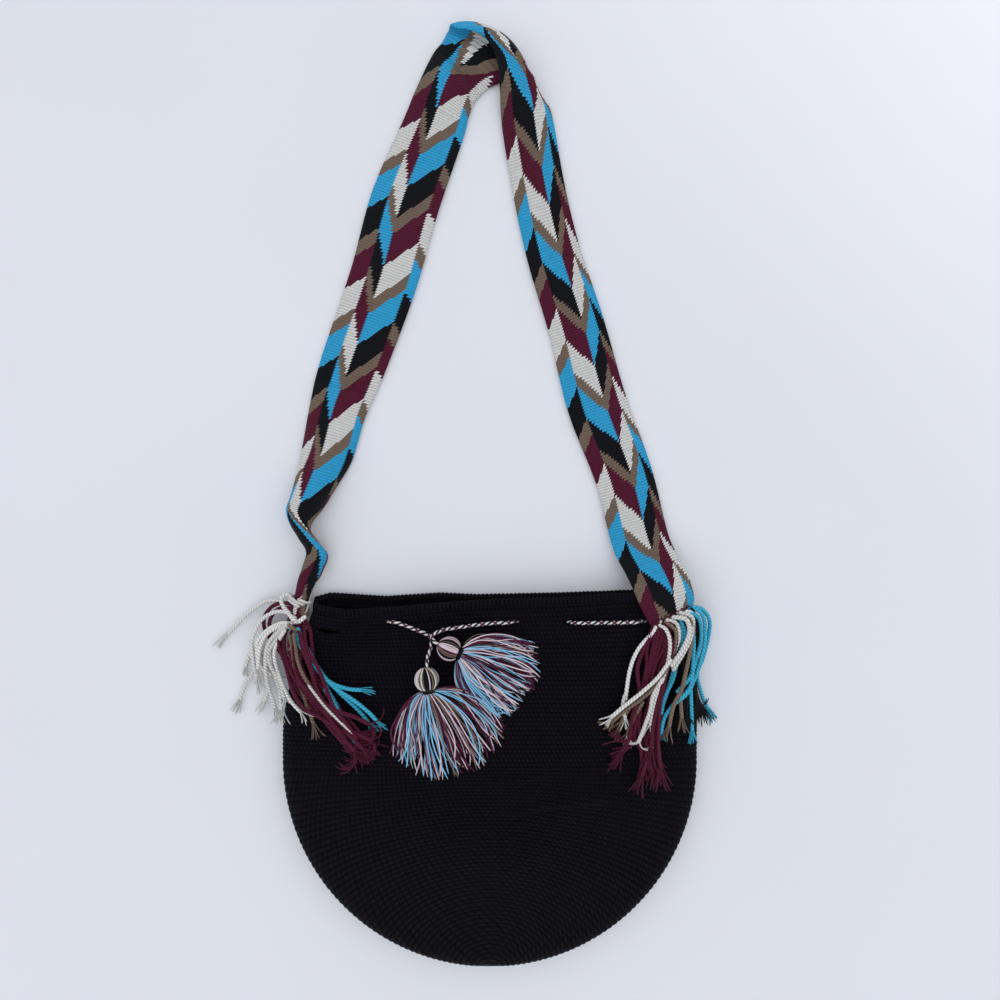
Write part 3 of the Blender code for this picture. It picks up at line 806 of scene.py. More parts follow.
    def build(self) -> list[bpy.types.Object]:
        """Make the whole pouch."""
        crochet = CrochetFinish("black_crochet", Yarn.BAG_BLACK.value).make()
        places, pattern = self.skin()
        front_ids = np.arange(-self.seam_columns, self.front_columns + self.seam_columns + 1)
        first, last = self.front_columns + self.seam_columns, places.shape[1] - self.seam_columns
        back_ids = np.arange(first, last + 1)
        front_slits = [Eyelet(x, self.eyelet_y, self.eyelet_width, self.eyelet_height)
                       for x in self.front_eyelets]
        front_slits.append(self.side_slit)
        back_slits = [Eyelet(x, self.eyelet_y, self.eyelet_width, self.eyelet_height)
                      for x in self.back_eyelets]
        pieces = []
        for name, ids, slits in (("bag_front", front_ids, front_slits), ("bag_back", back_ids, back_slits)):
            ids = ids % places.shape[1]
            layer = self.layer(name, places[:, ids], pattern[:, ids], slits, crochet)
            pieces.append(settle(layer, "bag_yarn", "bag_body"))
        edge = self.mouth_edge(places, CrochetFinish("black_edging", Yarn.BAG_BLACK.value).make())
        pieces.append(settle(edge, "bag_yarn", "bag_body"))
        return pieces


# ---------------------------------------------------------------- the strap
FLAT = 0
UP = (0, 0, 1)
RIGHTWARD = (1, 0, 0.3)
OVER_THE_TOP = (0.49, 0.87, 0)


@dataclass
class Strap:
    """The woven shoulder strap, which folds over itself at its top.

    A row is one edge of the band, the other edge, the band's width and the way that it curls.
    """

    thickness: float = 2.8
    step: float = 1.0
    segments: int = 30
    top_row: float = 19.0          # the row at the middle of the fold
    pattern_width: float = 52.0
    row_relief: float = 0.16
    edge_thinning: float = 0.86    # how much thinner the band gets at its very edges
    left_seams: tuple[float, ...] = (-13.5, -2.1, 18.2, 1.0)     # three places and a steepness
    right_seams: tuple[float, ...] = (-13.0, 6.8, 19.2, 3.2)
    seam_shift: tuple[float, float] = (-40.0, 60.0)     # where one leg's seams give way to the other's
    drift: Points = field(default_factory=lambda: [        # how far the pattern lies from the top
        (-520, 22), (-100, 13), (20, 14), (100, 21), (190, 32), (520, 30)])
    rows: list[StrapRow] = field(default_factory=lambda: [
        ((-167, 146.5, 15), (-164, 145.5, 11), 30, RIGHTWARD),
        ((-166.5, 163.5, 12.5), (-166.5, 163, 8.5), 32, RIGHTWARD),
        ((-164, 176, 14), (-164, 173, 7), 38, RIGHTWARD),
        ((-160, 188, 14), (-160, 185, 6), 42, RIGHTWARD),
        ((-157, 201, 14), (-157, 197, 5), 45, RIGHTWARD),
        ((-164, 213, 14), (-162, 207, 5), 48, (0.8, 0, 0.5)),
        ((-173, 229, 10), (-164, 220, 4), 50, (0.4, 0.2, 0.8)),
        ((-171, 246, 5), (-146, 238, 4), 50, UP),
        ((-167, 271, 3), (-131, 261, 3), 50, UP),
        ((-163, 293, 2), (-120, 281, 2), 50, UP),
        ((-156, 332, 2), (-109, 317, 2), 51, UP),
        ((-147, 371, 2), (-92, 354, 2), FLAT, UP),
        ((-122, 446, 2), (-65, 426, 2), FLAT, UP),
        ((-103, 515, 2), (-45, 495, 2), FLAT, UP),
        ((-75, 579, 2), (-24, 557, 2), FLAT, UP),
        ((-63, 606, 2), (-19, 578, 2), 53, UP),
        ((-51, 631, 2), (-13, 593, 2), 55, UP),
        ((-41, 646, 2), (-1, 604, 2), FLAT, UP),
        ((-36, 653, 4), (15, 612, 3), 68, OVER_THE_TOP),
        ((-34, 655, 9), (29, 620, 6), 80, OVER_THE_TOP),
        ((-29, 649, 15), (31, 615, 11), 76, OVER_THE_TOP),
        ((-13, 645, 17), (35, 611, 11), 62, (0.3, 0.3, 0.9)),
        ((-2, 638, 16), (38, 608, 10), 53, UP),
        ((5, 627, 14), (41, 604, 9), 47, UP),
        ((8, 614, 11), (44, 596, 7), 45, UP),
        ((9, 599, 8), (49, 589, 5), 45, UP),
        ((11, 568, 3), (54, 579, 3), 46, UP),
        ((21, 505, 2), (66, 518, 2), FLAT, UP),
        ((33, 451, 2), (79, 465, 2), FLAT, UP),
        ((51, 390, 2), (99, 405, 2), FLAT, UP),
        ((68, 321, 2), (119, 336, 2), FLAT, UP),
        ((92, 259, 2), (141, 274, 2), FLAT, UP),
        ((106, 204, 6), (155, 217, 4), FLAT, UP),
        ((115, 183, 17), (162, 197, 13), FLAT, UP),
        ((121, 168, 26), (168, 182, 22), FLAT, UP),
        ((127, 153, 29), (172, 164, 27), FLAT, UP),
        ((136, 138, 29), (169, 154, 27), FLAT, UP),
    ])

    def edges(self, position: np.ndarray) -> tuple[np.ndarray, np.ndarray, np.ndarray, np.ndarray]:
        """Both edges, the width and the curl's direction at places counted in rows."""
        first = np.array([row[0] for row in self.rows], float)
        second = np.array([row[1] for row in self.rows], float)
        spans = np.linalg.norm(second - first, axis=1)
        widths = np.array([0.98 * span if row[2] == FLAT else row[2] for span, row in zip(spans, self.rows)])
        curls = unit(np.array([row[3] for row in self.rows], float))
        width = spline_at(widths[:, None], position)[:, 0]
        return spline_at(first, position), spline_at(second, position), width, spline_at(curls, position)

    def middle_surface(self, position: np.ndarray) -> np.ndarray:
        """Grid of the band's middle layer: an arc of the band's width between its two edges."""
        first, second, width, curl = self.edges(position)
        chord = second - first
        span = np.linalg.norm(chord, axis=1)
        along = chord / span[:, None]
        outward = unit(curl - along * np.sum(curl * along, axis=1)[:, None])
        share = np.minimum(span / width, 0.99999)
        table = np.linspace(1e-4, math.pi * 0.98, 4000)
        half = np.interp(-share, -np.sin(table) / table, table)
        radius = width / (2 * half)
        turn = half[:, None] * np.linspace(-1, 1, self.segments + 1)
        rise = radius[:, None] * (np.cos(turn) - np.cos(half)[:, None])
        sideways = radius[:, None] * np.sin(turn)
        middle = (first + second) / 2
        return middle[:, None] + along[:, None] * sideways[..., None] + outward[:, None] * rise[..., None]

    def positions(self) -> tuple[np.ndarray, np.ndarray]:
        """Row positions one step apart along the strap, and their distances from its top."""
        fine = np.linspace(0, len(self.rows) - 1, 4000)
        first, second, _, _ = self.edges(fine)
        along = lengths_along((first + second) / 2)
        count = round(along[-1] / self.step)
        wanted = np.linspace(0, along[-1], count + 1)
        return np.interp(wanted, along, fine), wanted - np.interp(self.top_row, fine, along)

    def build(self) -> bpy.types.Object:
        """Make the strap, as a closed band with ribbed faces and rounded edges."""
        position, distance = self.positions()
        grid = self.middle_surface(position)
        normal = unit(np.cross(np.gradient(grid, axis=1), np.gradient(grid, axis=0)))
        across = np.linspace(-1, 1, self.segments + 1)
        body = self.thickness / 2 * np.sqrt(1 - self.edge_thinning * np.abs(across) ** 8)
        weave = WeaveFinish("strap_weave")
        carried = np.abs(distance) - np.interp(distance, *np.array(self.drift, float).T)
        rib = self.row_relief * (np.abs(np.sin(math.pi * carried / weave.row)) - 0.6)
        half = body[None, :] + rib[:, None]
        top, under = grid - normal * half[..., None], grid + normal * half[..., None]
        rings = np.concatenate([top, under[:, ::-1]], axis=1)
        width = across * self.pattern_width / 2
        around = np.concatenate([width, width[::-1], width[:1]])
        strands = Strands()
        strands.add_rings(rings, pattern_grid(carried, around), np.array(Yarn.MAROON.value))
        strap = strands.make("strap_band", weave.make())
        turned = smooth_step(distance, *self.seam_shift)[:, None]
        seams = np.array(self.left_seams) * (1 - turned) + np.array(self.right_seams) * turned
        held = strap.data.color_attributes.new("seams", "FLOAT_COLOR", "POINT")
        held.data.foreach_set("color", np.repeat(seams, rings.shape[1], axis=0).ravel())
        return settle(strap, "strap_weave", "strap")


# ---------------------------------------------------------------- drawstring
@dataclass
class Drawstring:
    """The braided cord round the mouth. Its two free ends carry the tassels."""

    shape: BagShape
    tails: tuple[Points, Points]   # how each free end runs on inside its tassel, from its far tip
    diameter: float = 3.0
    step: float = 0.62
    lower_end: Points = field(default_factory=lambda: [
        (-51.5, 111, 38), (-50.5, 117, 34.5), (-48.5, 124, 31),
        (-50, 131, 29.4), (-62, 136.5, 28.8)])
    upper_end: Points = field(default_factory=lambda: [
        (4, 142, 29.3), (-12, 140.5, 30.4), (-27, 138.5, 31.5), (-40, 136.5, 33.5),
        (-47.5, 132, 36.5), (-43.6, 127, 38.8)])

    def eyelet_step(self, x: float, y: float, front: bool, inward: int) -> Points:
        """Three points that take the cord through an eyelet.

        Args:
            x: The eyelet's place across.
            y: Its place along the bag.
            front: Whether it is in the front layer.
            inward: 1 or -1, the way across that the cord moves as it goes in.

        Returns:
            The points, from outside to inside.
        """
        reach = 6.5
        gap = self.diameter / 2 + 0.5
        if front:
            outer = float(self.shape.front(np.array(x), np.array(y))) + gap
            inner = outer - self.shape.wall - 2 * gap
        else:
            outer = float(self.shape.back(np.array(x), np.array(y))) - gap
            inner = outer + self.shape.wall + 2 * gap
        return [(x - inward * reach, y, outer), (x, y, (outer + inner) / 2), (x + inward * reach, y, inner)]

    def routes(self, bag: Bag) -> tuple[Points, Points, Points]:
        """The lower free end, the stretch threaded round the mouth, and the upper free end."""
        y = bag.eyelet_y
        front, back = bag.front_eyelets, bag.back_eyelets
        first = self.eyelet_step(front[0], y, True, -1)
        threaded = first[1:]
        threaded += [(-112, y, 17), (-132, y, 15), (-145, y, 13.5), (-147, y, 12.5), (-136, y, 11.4)]
        threaded += self.eyelet_step(back[0], y, False, -1)[::-1]
        threaded += self.eyelet_step(back[1], y, False, 1)
        threaded += [(-20, y, 10.2), (20, y, 10.2)]
        threaded += self.eyelet_step(back[2], y, False, -1)[::-1]
        threaded += self.eyelet_step(back[3], y, False, 1)
        threaded += [(138, y, 11.2), (156, y, 12.2), (159, y, 13.2), (150, y, 15)]
        threaded += self.eyelet_step(front[3], y, True, 1)[::-1]
        threaded += self.eyelet_step(front[2], y, True, -1)
        threaded += [(44, y, 19.5)]
        last = self.eyelet_step(front[1], y, True, 1)[::-1]
        threaded += last[:2]
        lower_tail, upper_tail = self.tails
        lower = (lower_tail + self.lower_end + first[:2])[::-1]
        return lower, threaded, last[1:] + self.upper_end + upper_tail[::-1]

    def braid(self, name: str, path: np.ndarray, finish: bpy.types.Material) -> bpy.types.Object:
        """Make a braided cord along a path.

        Args:
            name: The piece's name.
            path: Its centreline.
            finish: Its material.

        Returns:
            The piece.
        """
        around, carriers, pitch = 16, 4, 11.0
        _, side, up = carried_frames(path)
        along = lengths_along(path)
        turn = np.arange(around) / around
        right = carriers * (turn[None, :] + along[:, None] / pitch)
        left = carriers * (turn[None, :] - along[:, None] / pitch)
        over = (np.floor(right) + np.floor(left)) % 2 < 1
        ends = quarter_round(0.2 + np.minimum(along, along[-1] - along) / 1.2)
        bulge = np.abs(np.sin(math.pi * right)) * np.abs(np.sin(math.pi * left))
        radius = self.diameter / 2 * ends[:, None] * (0.86 + 0.26 * bulge)
        rings = (path[:, None] + side[:, None] * (radius * np.cos(2 * math.pi * turn))[..., None]
                 + up[:, None] * (radius * np.sin(2 * math.pi * turn))[..., None])
        white, black, plum = Yarn.OFF_WHITE.value, Yarn.BLACK.value, Yarn.PLUM.value
        palette = np.array([white, black, plum, black, white, black, white, plum])
        pick = np.where(over, np.floor(right) % carriers, carriers + np.floor(left) % carriers)
        colour = palette[pick.astype(int)]
        uv = pattern_grid(along / 3.0, np.linspace(0, 1, around + 1))
        strands = Strands()
        strands.add_rings(rings, uv, colour)
        return strands.make(name, finish)

    def build(self, bag: Bag) -> dict[str, tuple[bpy.types.Object, np.ndarray]]:
        """Make the cord's three stretches.

        Args:
            bag: The pouch, for its eyelets.

        Returns:
            Each stretch and its path, by name.
        """
        finish = YarnFinish("braided_drawstring", plies=2, groove=0.8, depth=0.0001).make()
        made = {}
        for name, route in zip(("drawstring_end_lower", "drawstring_threaded", "drawstring_end_upper"),
                               self.routes(bag)):
            path = even_path(route, self.step)
            piece = self.braid(name, path, finish)
            made[name] = (settle(piece, "drawstring_braid", "drawstring"), path)
        return made


# ---------------------------------------------------------------- tassels
@dataclass
class Tassel:
    """A tassel of fine yarns: a ball over which they are drawn, a tied neck and a loose skirt.

    The skirt's outline gives the furthest yarn's reach from the neck for each angle to the
    tassel's own direction, in degrees.
    """

    name: str
    head: tuple[float, float, float]
    way: tuple[float, float]
    shape: BagShape
    seed: int
    outline: Points
    blue_side: float               # the angle about which the blue yarns gather
    ball: tuple[Yarn, ...]
    yarns: int = 170
    radius: float = 10.2
    yarn_radius: float = 0.56
    neck: float = 11.0
    neck_width: float = 6.2
    neck_height: float = 4.2
    stack: float = 9.5
    ball_yarn_radius: float = 0.60
    thread_radius: float = 0.5
    core_ends: tuple[float, float] = (46.0, 30.0)      # how far in the drawstring's hidden points lie
    core_height: float = 2.4       # how high they lie over the bag
    pink_share: float = 0.30       # share of the skirt's yarns that are pink
    blue_share: float = 0.12       # share that are blue, away from the blue side
    blue_gain: float = 0.30        # how much that share grows on the blue side
    blue_reach: float = 22.0       # how far the blue side reaches, in degrees
    plum_share: float = 0.62       # share of the yarns left over that are plum
    dark_share: float = 0.86       # share of them that are plum or black

    def axes(self) -> tuple[np.ndarray, np.ndarray, np.ndarray]:
        """The tassel's forward and sideways directions, and up."""
        ahead = np.array((*self.way, 0.0))
        ahead /= np.linalg.norm(ahead)
        return ahead, np.array((ahead[1], -ahead[0], 0.0)), np.array((0.0, 0.0, 1.0))

    def core(self) -> Points:
        """Where the drawstring runs on inside the tassel, from its hidden tip back to the ball."""
        ahead, _, _ = self.axes()
        places = [np.array(self.head) + ahead * run for run in (*self.core_ends, self.neck, 0.0)]
        for place in places[:2]:
            place[2] = float(self.shape.front(place[0], place[1])) + self.core_height
        places[2][2] -= 1.5
        return [tuple(float(value) for value in place) for place in places]

    def colour(self, chance: float, angle: float) -> Colour:
        """A skirt yarn's colour, from a random number and its angle in degrees."""
        bluer = math.exp(-(((angle - self.blue_side) / self.blue_reach) ** 2))
        blue = self.pink_share + self.blue_share + self.blue_gain * bluer
        bounds = ((self.pink_share, Yarn.PALE_PINK), (blue, Yarn.PALE_BLUE),
                  (blue + self.plum_share * (1 - blue), Yarn.PLUM),
                  (blue + self.dark_share * (1 - blue), Yarn.BLACK), (1.01, Yarn.TAUPE))
        return next(yarn.value for bound, yarn in bounds if chance < bound)

    def skirt_path(self, rng: np.random.Generator, angle: float) -> np.ndarray:
        """One yarn from the neck to its cut end.

        Args:
            rng: Where its chance bends come from.
            angle: The direction of its end, in degrees from the tassel's own.

        Returns:
            Its path.
        """
        ahead, side, _ = self.axes()
        angles, reaches = np.array(self.outline, float).T
        low, high = angles[0], angles[-1]
        share = (angle - low) / (high - low)
        middle = math.radians((low + high) / 2)
        reach = float(np.interp(angle, angles, reaches)) * (1 - 0.22 * rng.uniform() ** 1.6)
        turned = math.radians(angle)
        opening = float(np.clip((turned - middle) * 2.0 + rng.normal(0, 0.20), -1.45, 1.45)) + middle
        start = np.array((self.neck - 1.5, (share - 0.5) * self.neck_width * 1.9))
        far = start + reach * np.array((math.cos(turned), math.sin(turned)))
        near = start + rng.uniform(0.28, 0.48) * reach * np.array((math.cos(opening), math.sin(opening)))
        last = middle + (turned - middle) * rng.uniform(-0.1, 1.0) + rng.normal(0, 0.30)
        late = far - rng.uniform(0.25, 0.42) * reach * np.array((math.cos(last), math.sin(last)))
        t = np.linspace(0, 1, 17)
        s = t[:, None]
        flat = (1 - s) ** 3 * start + 3 * s * (1 - s) ** 2 * near + 3 * s**2 * (1 - s) * late + s**3 * far
        flat[:, 1] += rng.normal(0, 1.5) * np.sin(math.pi * t * rng.uniform(1.0, 3.4)) * t
        places = np.array(self.head) + flat[:, :1] * ahead + flat[:, 1:] * side
        layer = rng.uniform(0, 1)
        rest = self.shape.ground(places[:, 0], places[:, 1]) + 0.9
        lofty = rest + layer * self.stack * (1 - 0.5 * t) + 1.6 * layer * np.sin(math.pi * t)
        neck_z = self.head[2] - 1.0 + self.neck_height * (layer * 2 - 1)
        blend = smooth_step(t, 0.0, 0.30)
        places[:, 2] = neck_z * (1 - blend) + lofty * blend
        return places

    def ball_strands(self, strands: Strands, rng: np.random.Generator) -> None:
        """Add the ball: yarns drawn over a dark core from its top to the neck."""
        ahead, side, up = self.axes()
        head = np.array(self.head)
        latitude = np.linspace(0.12, math.pi - 0.12, 12)
        around, meridians = 20, 46
        turn = 2 * math.pi * np.arange(around) / around
        ring = np.cos(turn)[:, None] * side + np.sin(turn)[:, None] * up
        inner = self.radius - 1.1
        core = (head - ahead * (inner * np.cos(latitude))[:, None])[:, None] + (
            ring[None] * (inner * np.sin(latitude))[:, None, None])
        uv = pattern_grid(latitude, np.linspace(0, 1, around + 1))
        strands.add_rings(core, uv, np.array(Yarn.BLACK.value))
        for i in range(meridians):
            angle = 2 * math.pi * (i + rng.uniform(-0.3, 0.3)) / meridians
            arc = np.linspace(0.16, 2.50, 14)
            size = self.radius - self.yarn_radius + rng.uniform(-0.35, 0.2)
            outward = side * math.cos(angle) + up * math.sin(angle)
            path = head - ahead * (size * np.cos(arc))[:, None] + outward * (size * np.sin(arc))[:, None]
            yarn = rng.choice(self.ball)
            strands.add_strand(path, self.ball_yarn_radius, yarn.value, sides=6, ply_pitch=3.0)

    def build(self) -> tuple[bpy.types.Object, bpy.types.Object]:
        """Make the tassel and the thread round its neck."""
        rng = np.random.default_rng(self.seed)
        ahead, side, up = self.axes()
        strands = Strands()
        self.ball_strands(strands, rng)
        low, high = self.outline[0][0], self.outline[-1][0]
        for i in range(self.yarns):
            angle = low + (high - low) * (i + rng.uniform(0, 1)) / self.yarns
            strands.add_strand(self.skirt_path(rng, angle), self.yarn_radius * rng.uniform(0.85, 1.15),
                               self.colour(rng.uniform(), angle), sides=5, ply_pitch=3.0)
        finish = YarnFinish(self.name + "_yarn", plies=2, groove=0.75, depth=0.0001).make()
        tassel = settle(strands.make(self.name + "_yarns", finish), "tassel_yarn", self.name)
        thread = Strands()
        turns, per_turn = 2, 26
        count = np.arange(turns * per_turn + 1)
        turn = 2 * math.pi * count / per_turn
        along = self.neck - 0.6 + 1.0 * (count / per_turn - turns / 2)
        path = (np.array(self.head) - up + ahead * along[:, None]
                + side * ((self.neck_width + 0.5) * np.cos(turn))[:, None]
                + up * ((self.neck_height + 1.0) * np.sin(turn))[:, None])
        thread.add_strand(path, self.thread_radius, Yarn.BLACK.value, sides=6, ply_pitch=2.5)
        tie = settle(thread.make(self.name + "_thread", finish), "black_cord", self.name + "_tie")
        return tassel, tie


# ---------------------------------------------------------------- fringe
CORD_WORDS = {Yarn.OFF_WHITE: "white", Yarn.MAROON: "maroon", Yarn.SKY_BLUE: "blue",
              Yarn.TAUPE: "taupe", Yarn.BLACK: "black"}


@dataclass(frozen=True)
class Cord:
    """A loose warp cord past the strap's end.

    Its points are x and y. It rests on what lies under it, `layer` cords up, and leaves the
    strap at the height `root`. `fray` is how many fine yarns its end opens into.
    """

    yarn: Yarn
    points: Points
    layer: float = 0.0
    root: float = 28.0
    fray: int = 5
    fray_length: float = 15.0
    radius: float = 1.7
    looped: bool = False
    stray: bool = False


@dataclass(frozen=True)
class Bundle:
    """Cords of one yarn, spread between two outer routes and lying up to `layers` cords up."""

    yarn: Yarn
    count: int
    first: Points
    second: Points
    layers: float
    root: float
    fray: int


@dataclass
class Fringe:
    """The loose cords at one end of the strap."""

    side: str
    shape: BagShape
    seed: int
    cords: list[Cord]
    bundles: list[Bundle]
    stray: Yarn
    curly: float = 0.0             # share of the bundled cords whose open ends curl round
    tautness: float = 0.75         # how far a cord bridges hollows near its root, from 0 to 1
    step: float = 1.15
    gap: float = 0.15              # left free under each cord
    layer_height: float = 3.0
    smoothing: int = 13            # how many steps of a cord's height are eased together
    sway: float = 2.2              # how far a bundled cord strays from its even place
    end_sway: float = 4.0          # how much further its end does

    def spread_bundles(self, rng: np.random.Generator) -> list[Cord]:
        """Cords of each bundle, spread between its two outer routes."""
        cords = []
        for bundle in self.bundles:
            first, second = np.array(bundle.first, float), np.array(bundle.second, float)
            for i in range(bundle.count):
                share = (i + 0.5) / bundle.count
                mixed = first * (1 - share) + second * share
                mixed[1:] += rng.normal(0, self.sway, mixed[1:].shape)
                mixed[-1] += rng.normal(0, self.end_sway, 2)
                layer = bundle.layers * float(rng.uniform(0, 1))
                curly = bool(rng.uniform() < self.curly)
                cords.append(Cord(bundle.yarn, [tuple(p) for p in mixed], layer, bundle.root,
                                  bundle.fray, float(rng.uniform(14, 24)), looped=curly))
        return cords

    @staticmethod
    def bridged(along: np.ndarray, height: np.ndarray) -> np.ndarray:
        """The line of a cord pulled tight over a profile: its upper hull."""
        kept = [0]
        for i in range(1, len(along)):
            while len(kept) > 1:
                a, b = kept[-2], kept[-1]
                before = (height[b] - height[a]) * (along[i] - along[a])
                if before >= (height[i] - height[a]) * (along[b] - along[a]):
                    break
                kept.pop()
            kept.append(i)
        return np.interp(along, along[kept], height[kept])

    def lay(self, cord: Cord) -> np.ndarray:
        """The path of one cord over what lies under it."""
        path = even_path([(x, y, 0.0) for x, y in cord.points], self.step)
        along = lengths_along(path)
        rest = self.shape.ground(path[:, 0], path[:, 1]) + cord.radius + self.gap
        rest = rest + self.layer_height * cord.layer
        window = np.hanning(self.smoothing) / np.hanning(self.smoothing).sum()
        padded = np.pad(rest, self.smoothing // 2, mode="edge")
        rest = np.maximum(rest, np.convolve(padded, window, mode="valid"))
        anchored = rest.copy()
        anchored[0] = cord.root
        taut = self.bridged(along, anchored)
        share = self.tautness * (1 - along / along[-1])
        height = rest * (1 - share) + taut * share
        ease = smooth_step(along, 0, 14)
        path[:, 2] = np.maximum(cord.root * (1 - ease) + height * ease, cord.radius + 0.1)
        return path

    def open_end(self, strands: Strands, path: np.ndarray, cord: Cord, rng: np.random.Generator) -> None:
        """Add the fine yarns that a cord's end opens into."""
        ahead = path[-1] - path[-5]
        ahead /= np.linalg.norm(ahead)
        side = np.cross(ahead, (0.0, 0.0, 1.0))
        side /= np.linalg.norm(side)
        lift = np.cross(side, ahead)
        for i in range(cord.fray):
            fan = (i + 0.5) / cord.fray - 0.5 + rng.normal(0, 0.08)
            length = cord.fray_length * rng.uniform(0.75, 1.15)
            t = np.linspace(0, 1, 10)[:, None]
            start = path[-3] + side * fan * cord.radius * 1.1 + lift * rng.uniform(-0.6, 0.6)
            bend = rng.normal(0, 2.4)
            if cord.looped:
                curl = 2.6 + rng.uniform(-0.5, 0.6)
                run = ahead * (np.sin(t * curl) * length * 0.55) + side * (
                    (1 - np.cos(t * curl)) * length * 0.45 * math.copysign(1.0, fan + 0.2))
                yarn = start + run + side * fan * t * 8
            else:
                yarn = start + ahead * t * length + side * (fan * length * 0.62 * t**1.3 + bend * t * t)
            yarn[:, 2] += rng.uniform(-0.4, 1.2) * t[:, 0]
            floor = self.shape.ground(yarn[:, 0], yarn[:, 1]) + 0.6
            yarn[:, 2] = np.maximum(yarn[:, 2] - 1.5 * cord.layer * t[:, 0], floor)
            tone = np.array(cord.yarn.value) * rng.uniform(0.85, 1.15)
            strands.add_strand(yarn, 0.55, tuple(tone), sides=5, ply_pitch=3.0)

    def build(self, finish: bpy.types.Material) -> list[bpy.types.Object]:
        """Make the fringe, as one piece for each yarn colour and one for the stray cord.

        Args:
            finish: The cords' material.

        Returns:
            The pieces.
        """
        rng = np.random.default_rng(self.seed)
        gathered: dict[str, Strands] = {}
        for cord in self.cords + self.spread_bundles(rng):
            key = "stray" if cord.stray else CORD_WORDS[cord.yarn]
            strands = gathered.setdefault(key, Strands())
            path = self.lay(cord)
            tone = np.array(cord.yarn.value) * rng.uniform(0.88, 1.1)
            strands.add_strand(path, cord.radius, tuple(tone), sides=9, plies=3, ply_pitch=9.0)
            self.open_end(strands, path, cord, rng)
        pieces = []
        for key, strands in gathered.items():
            piece = strands.make(f"fringe_{self.side}_{key}_cords", finish)
            word = CORD_WORDS[self.stray] if key == "stray" else key
            pieces.append(settle(piece, word + "_cord", f"fringe_{self.side}_{key}"))
        return pieces


def left_fringe(shape: BagShape) -> Fringe:
    """The fringe at the strap's curled left end."""
    white, maroon, blue, taupe = Yarn.OFF_WHITE, Yarn.MAROON, Yarn.SKY_BLUE, Yarn.TAUPE
    stray = Cord(white, [(-170, 148), (-180, 156), (-190, 158), (-200, 154), (-213, 144), (-229, 128)],
                 0.2, 16, 6, 18.0, stray=True)
    cords = [
        stray,
        Cord(white, [(-154, 148), (-160, 143), (-168, 141), (-179, 137), (-190, 131), (-197, 119),
                     (-199, 100)], 3.6, 28, 6, 16.0, radius=1.9),
        Cord(white, [(-162, 142), (-169, 147), (-176, 153), (-179, 160), (-174, 164),
                     (-168, 158)], 3.0, 26, 0, radius=1.9),
        Cord(white, [(-163, 144), (-173, 149), (-184, 149), (-196, 142), (-204, 127), (-205, 113),
                     (-201, 91)], 2.6, 22, 6),
        Cord(white, [(-166, 141), (-178, 140), (-190, 134), (-199, 124), (-200, 112), (-196, 100),
                     (-188, 94)], 2.8, 24, 5),
        Cord(white, [(-168, 142), (-180, 133), (-189, 122), (-192, 108), (-191, 88),
                     (-184, 66)], 3.2, 26, 6),
        Cord(white, [(-170, 140), (-184, 124), (-190, 112), (-187, 100), (-180, 89),
                     (-174, 76)], 2.4, 24, 4, 9.0),
        Cord(white, [(-172, 136), (-184, 116), (-180, 93), (-170, 79), (-158, 67)], 1.0, 24, 4, 12.0),
        Cord(white, [(-174, 134), (-190, 122), (-199, 109), (-206, 95), (-213, 85),
                     (-218, 71)], 0.2, 16, 6),
        Cord(white, [(-172, 140), (-186, 134), (-198, 123), (-208, 112), (-213, 100)], 0.4, 18, 5, 12.0),
        Cord(white, [(-170, 138), (-186, 128), (-194, 112), (-195, 96), (-192, 82),
                     (-196, 70)], 1.2, 20, 6, 14.0),
        Cord(white, [(-172, 138), (-188, 118), (-186, 96), (-180, 78), (-178, 66)], 1.4, 22, 6, 14.0),
        Cord(maroon, [(-163, 147), (-171, 152), (-180, 152), (-187, 146), (-190, 137), (-187, 124),
                      (-178, 108)], 2.2, 18, 0),
        Cord(maroon, [(-162, 150), (-172, 156), (-182, 156), (-190, 151), (-195, 142), (-193, 130),
                      (-182, 116)], 2.0, 18, 0),
        Cord(blue, [(-162, 138), (-155, 124), (-145, 107), (-135, 94), (-120, 88),
                    (-106, 87)], 1.2, 26, 7, 13.0),
        Cord(blue, [(-164, 136), (-156, 120), (-142, 101), (-128, 88), (-112, 78), (-100, 69),
                    (-92, 61)], 1.4, 26, 6, 12.0),
        Cord(blue, [(-164, 134), (-156, 116), (-140, 98), (-125, 84), (-110, 71),
                    (-100, 60)], 0.8, 26, 6, 12.0),
        Cord(blue, [(-164, 132), (-150, 112), (-143, 102), (-135, 85), (-127, 72),
                    (-120, 63)], 0.4, 26, 3, 6.0),
        Cord(blue, [(-138, 88), (-126, 70), (-117, 54), (-111, 44)], 1.6, 31, 4, 9.0),
        Cord(taupe, [(-168, 142), (-163, 136), (-163, 127), (-171, 117),
                     (-179, 108)], 3.9, 32, 0, radius=1.5),
        Cord(taupe, [(-168, 132), (-166, 108), (-157, 82), (-148, 57)], 0.2, 26, 6, 14.0),
        Cord(taupe, [(-164, 134), (-160, 110), (-148, 88), (-130, 66)], 2.6, 30, 0, radius=1.5),
        Cord(white, [(-150, 92), (-138, 76), (-124, 62), (-112, 52)], 2.8, 36, 3, 8.0, radius=1.1),
        Cord(maroon, [(-160, 136), (-150, 110), (-142, 84), (-130, 72), (-112, 66),
                      (-98, 60)], 2.4, 30, 8, 15.0, looped=True),
    ]
    upper = [(-168, 149), (-173, 138), (-180, 122), (-174, 98), (-156, 75), (-135, 56), (-114, 40)]
    lower = [(-160, 147), (-157, 137), (-150, 121), (-144, 103), (-133, 80), (-118, 61), (-102, 46)]
    reds = Bundle(maroon, 15, upper, lower, 2.6, 20.0, 7)
    return Fringe("left", shape, 5, cords, [reds], white, curly=0.55)


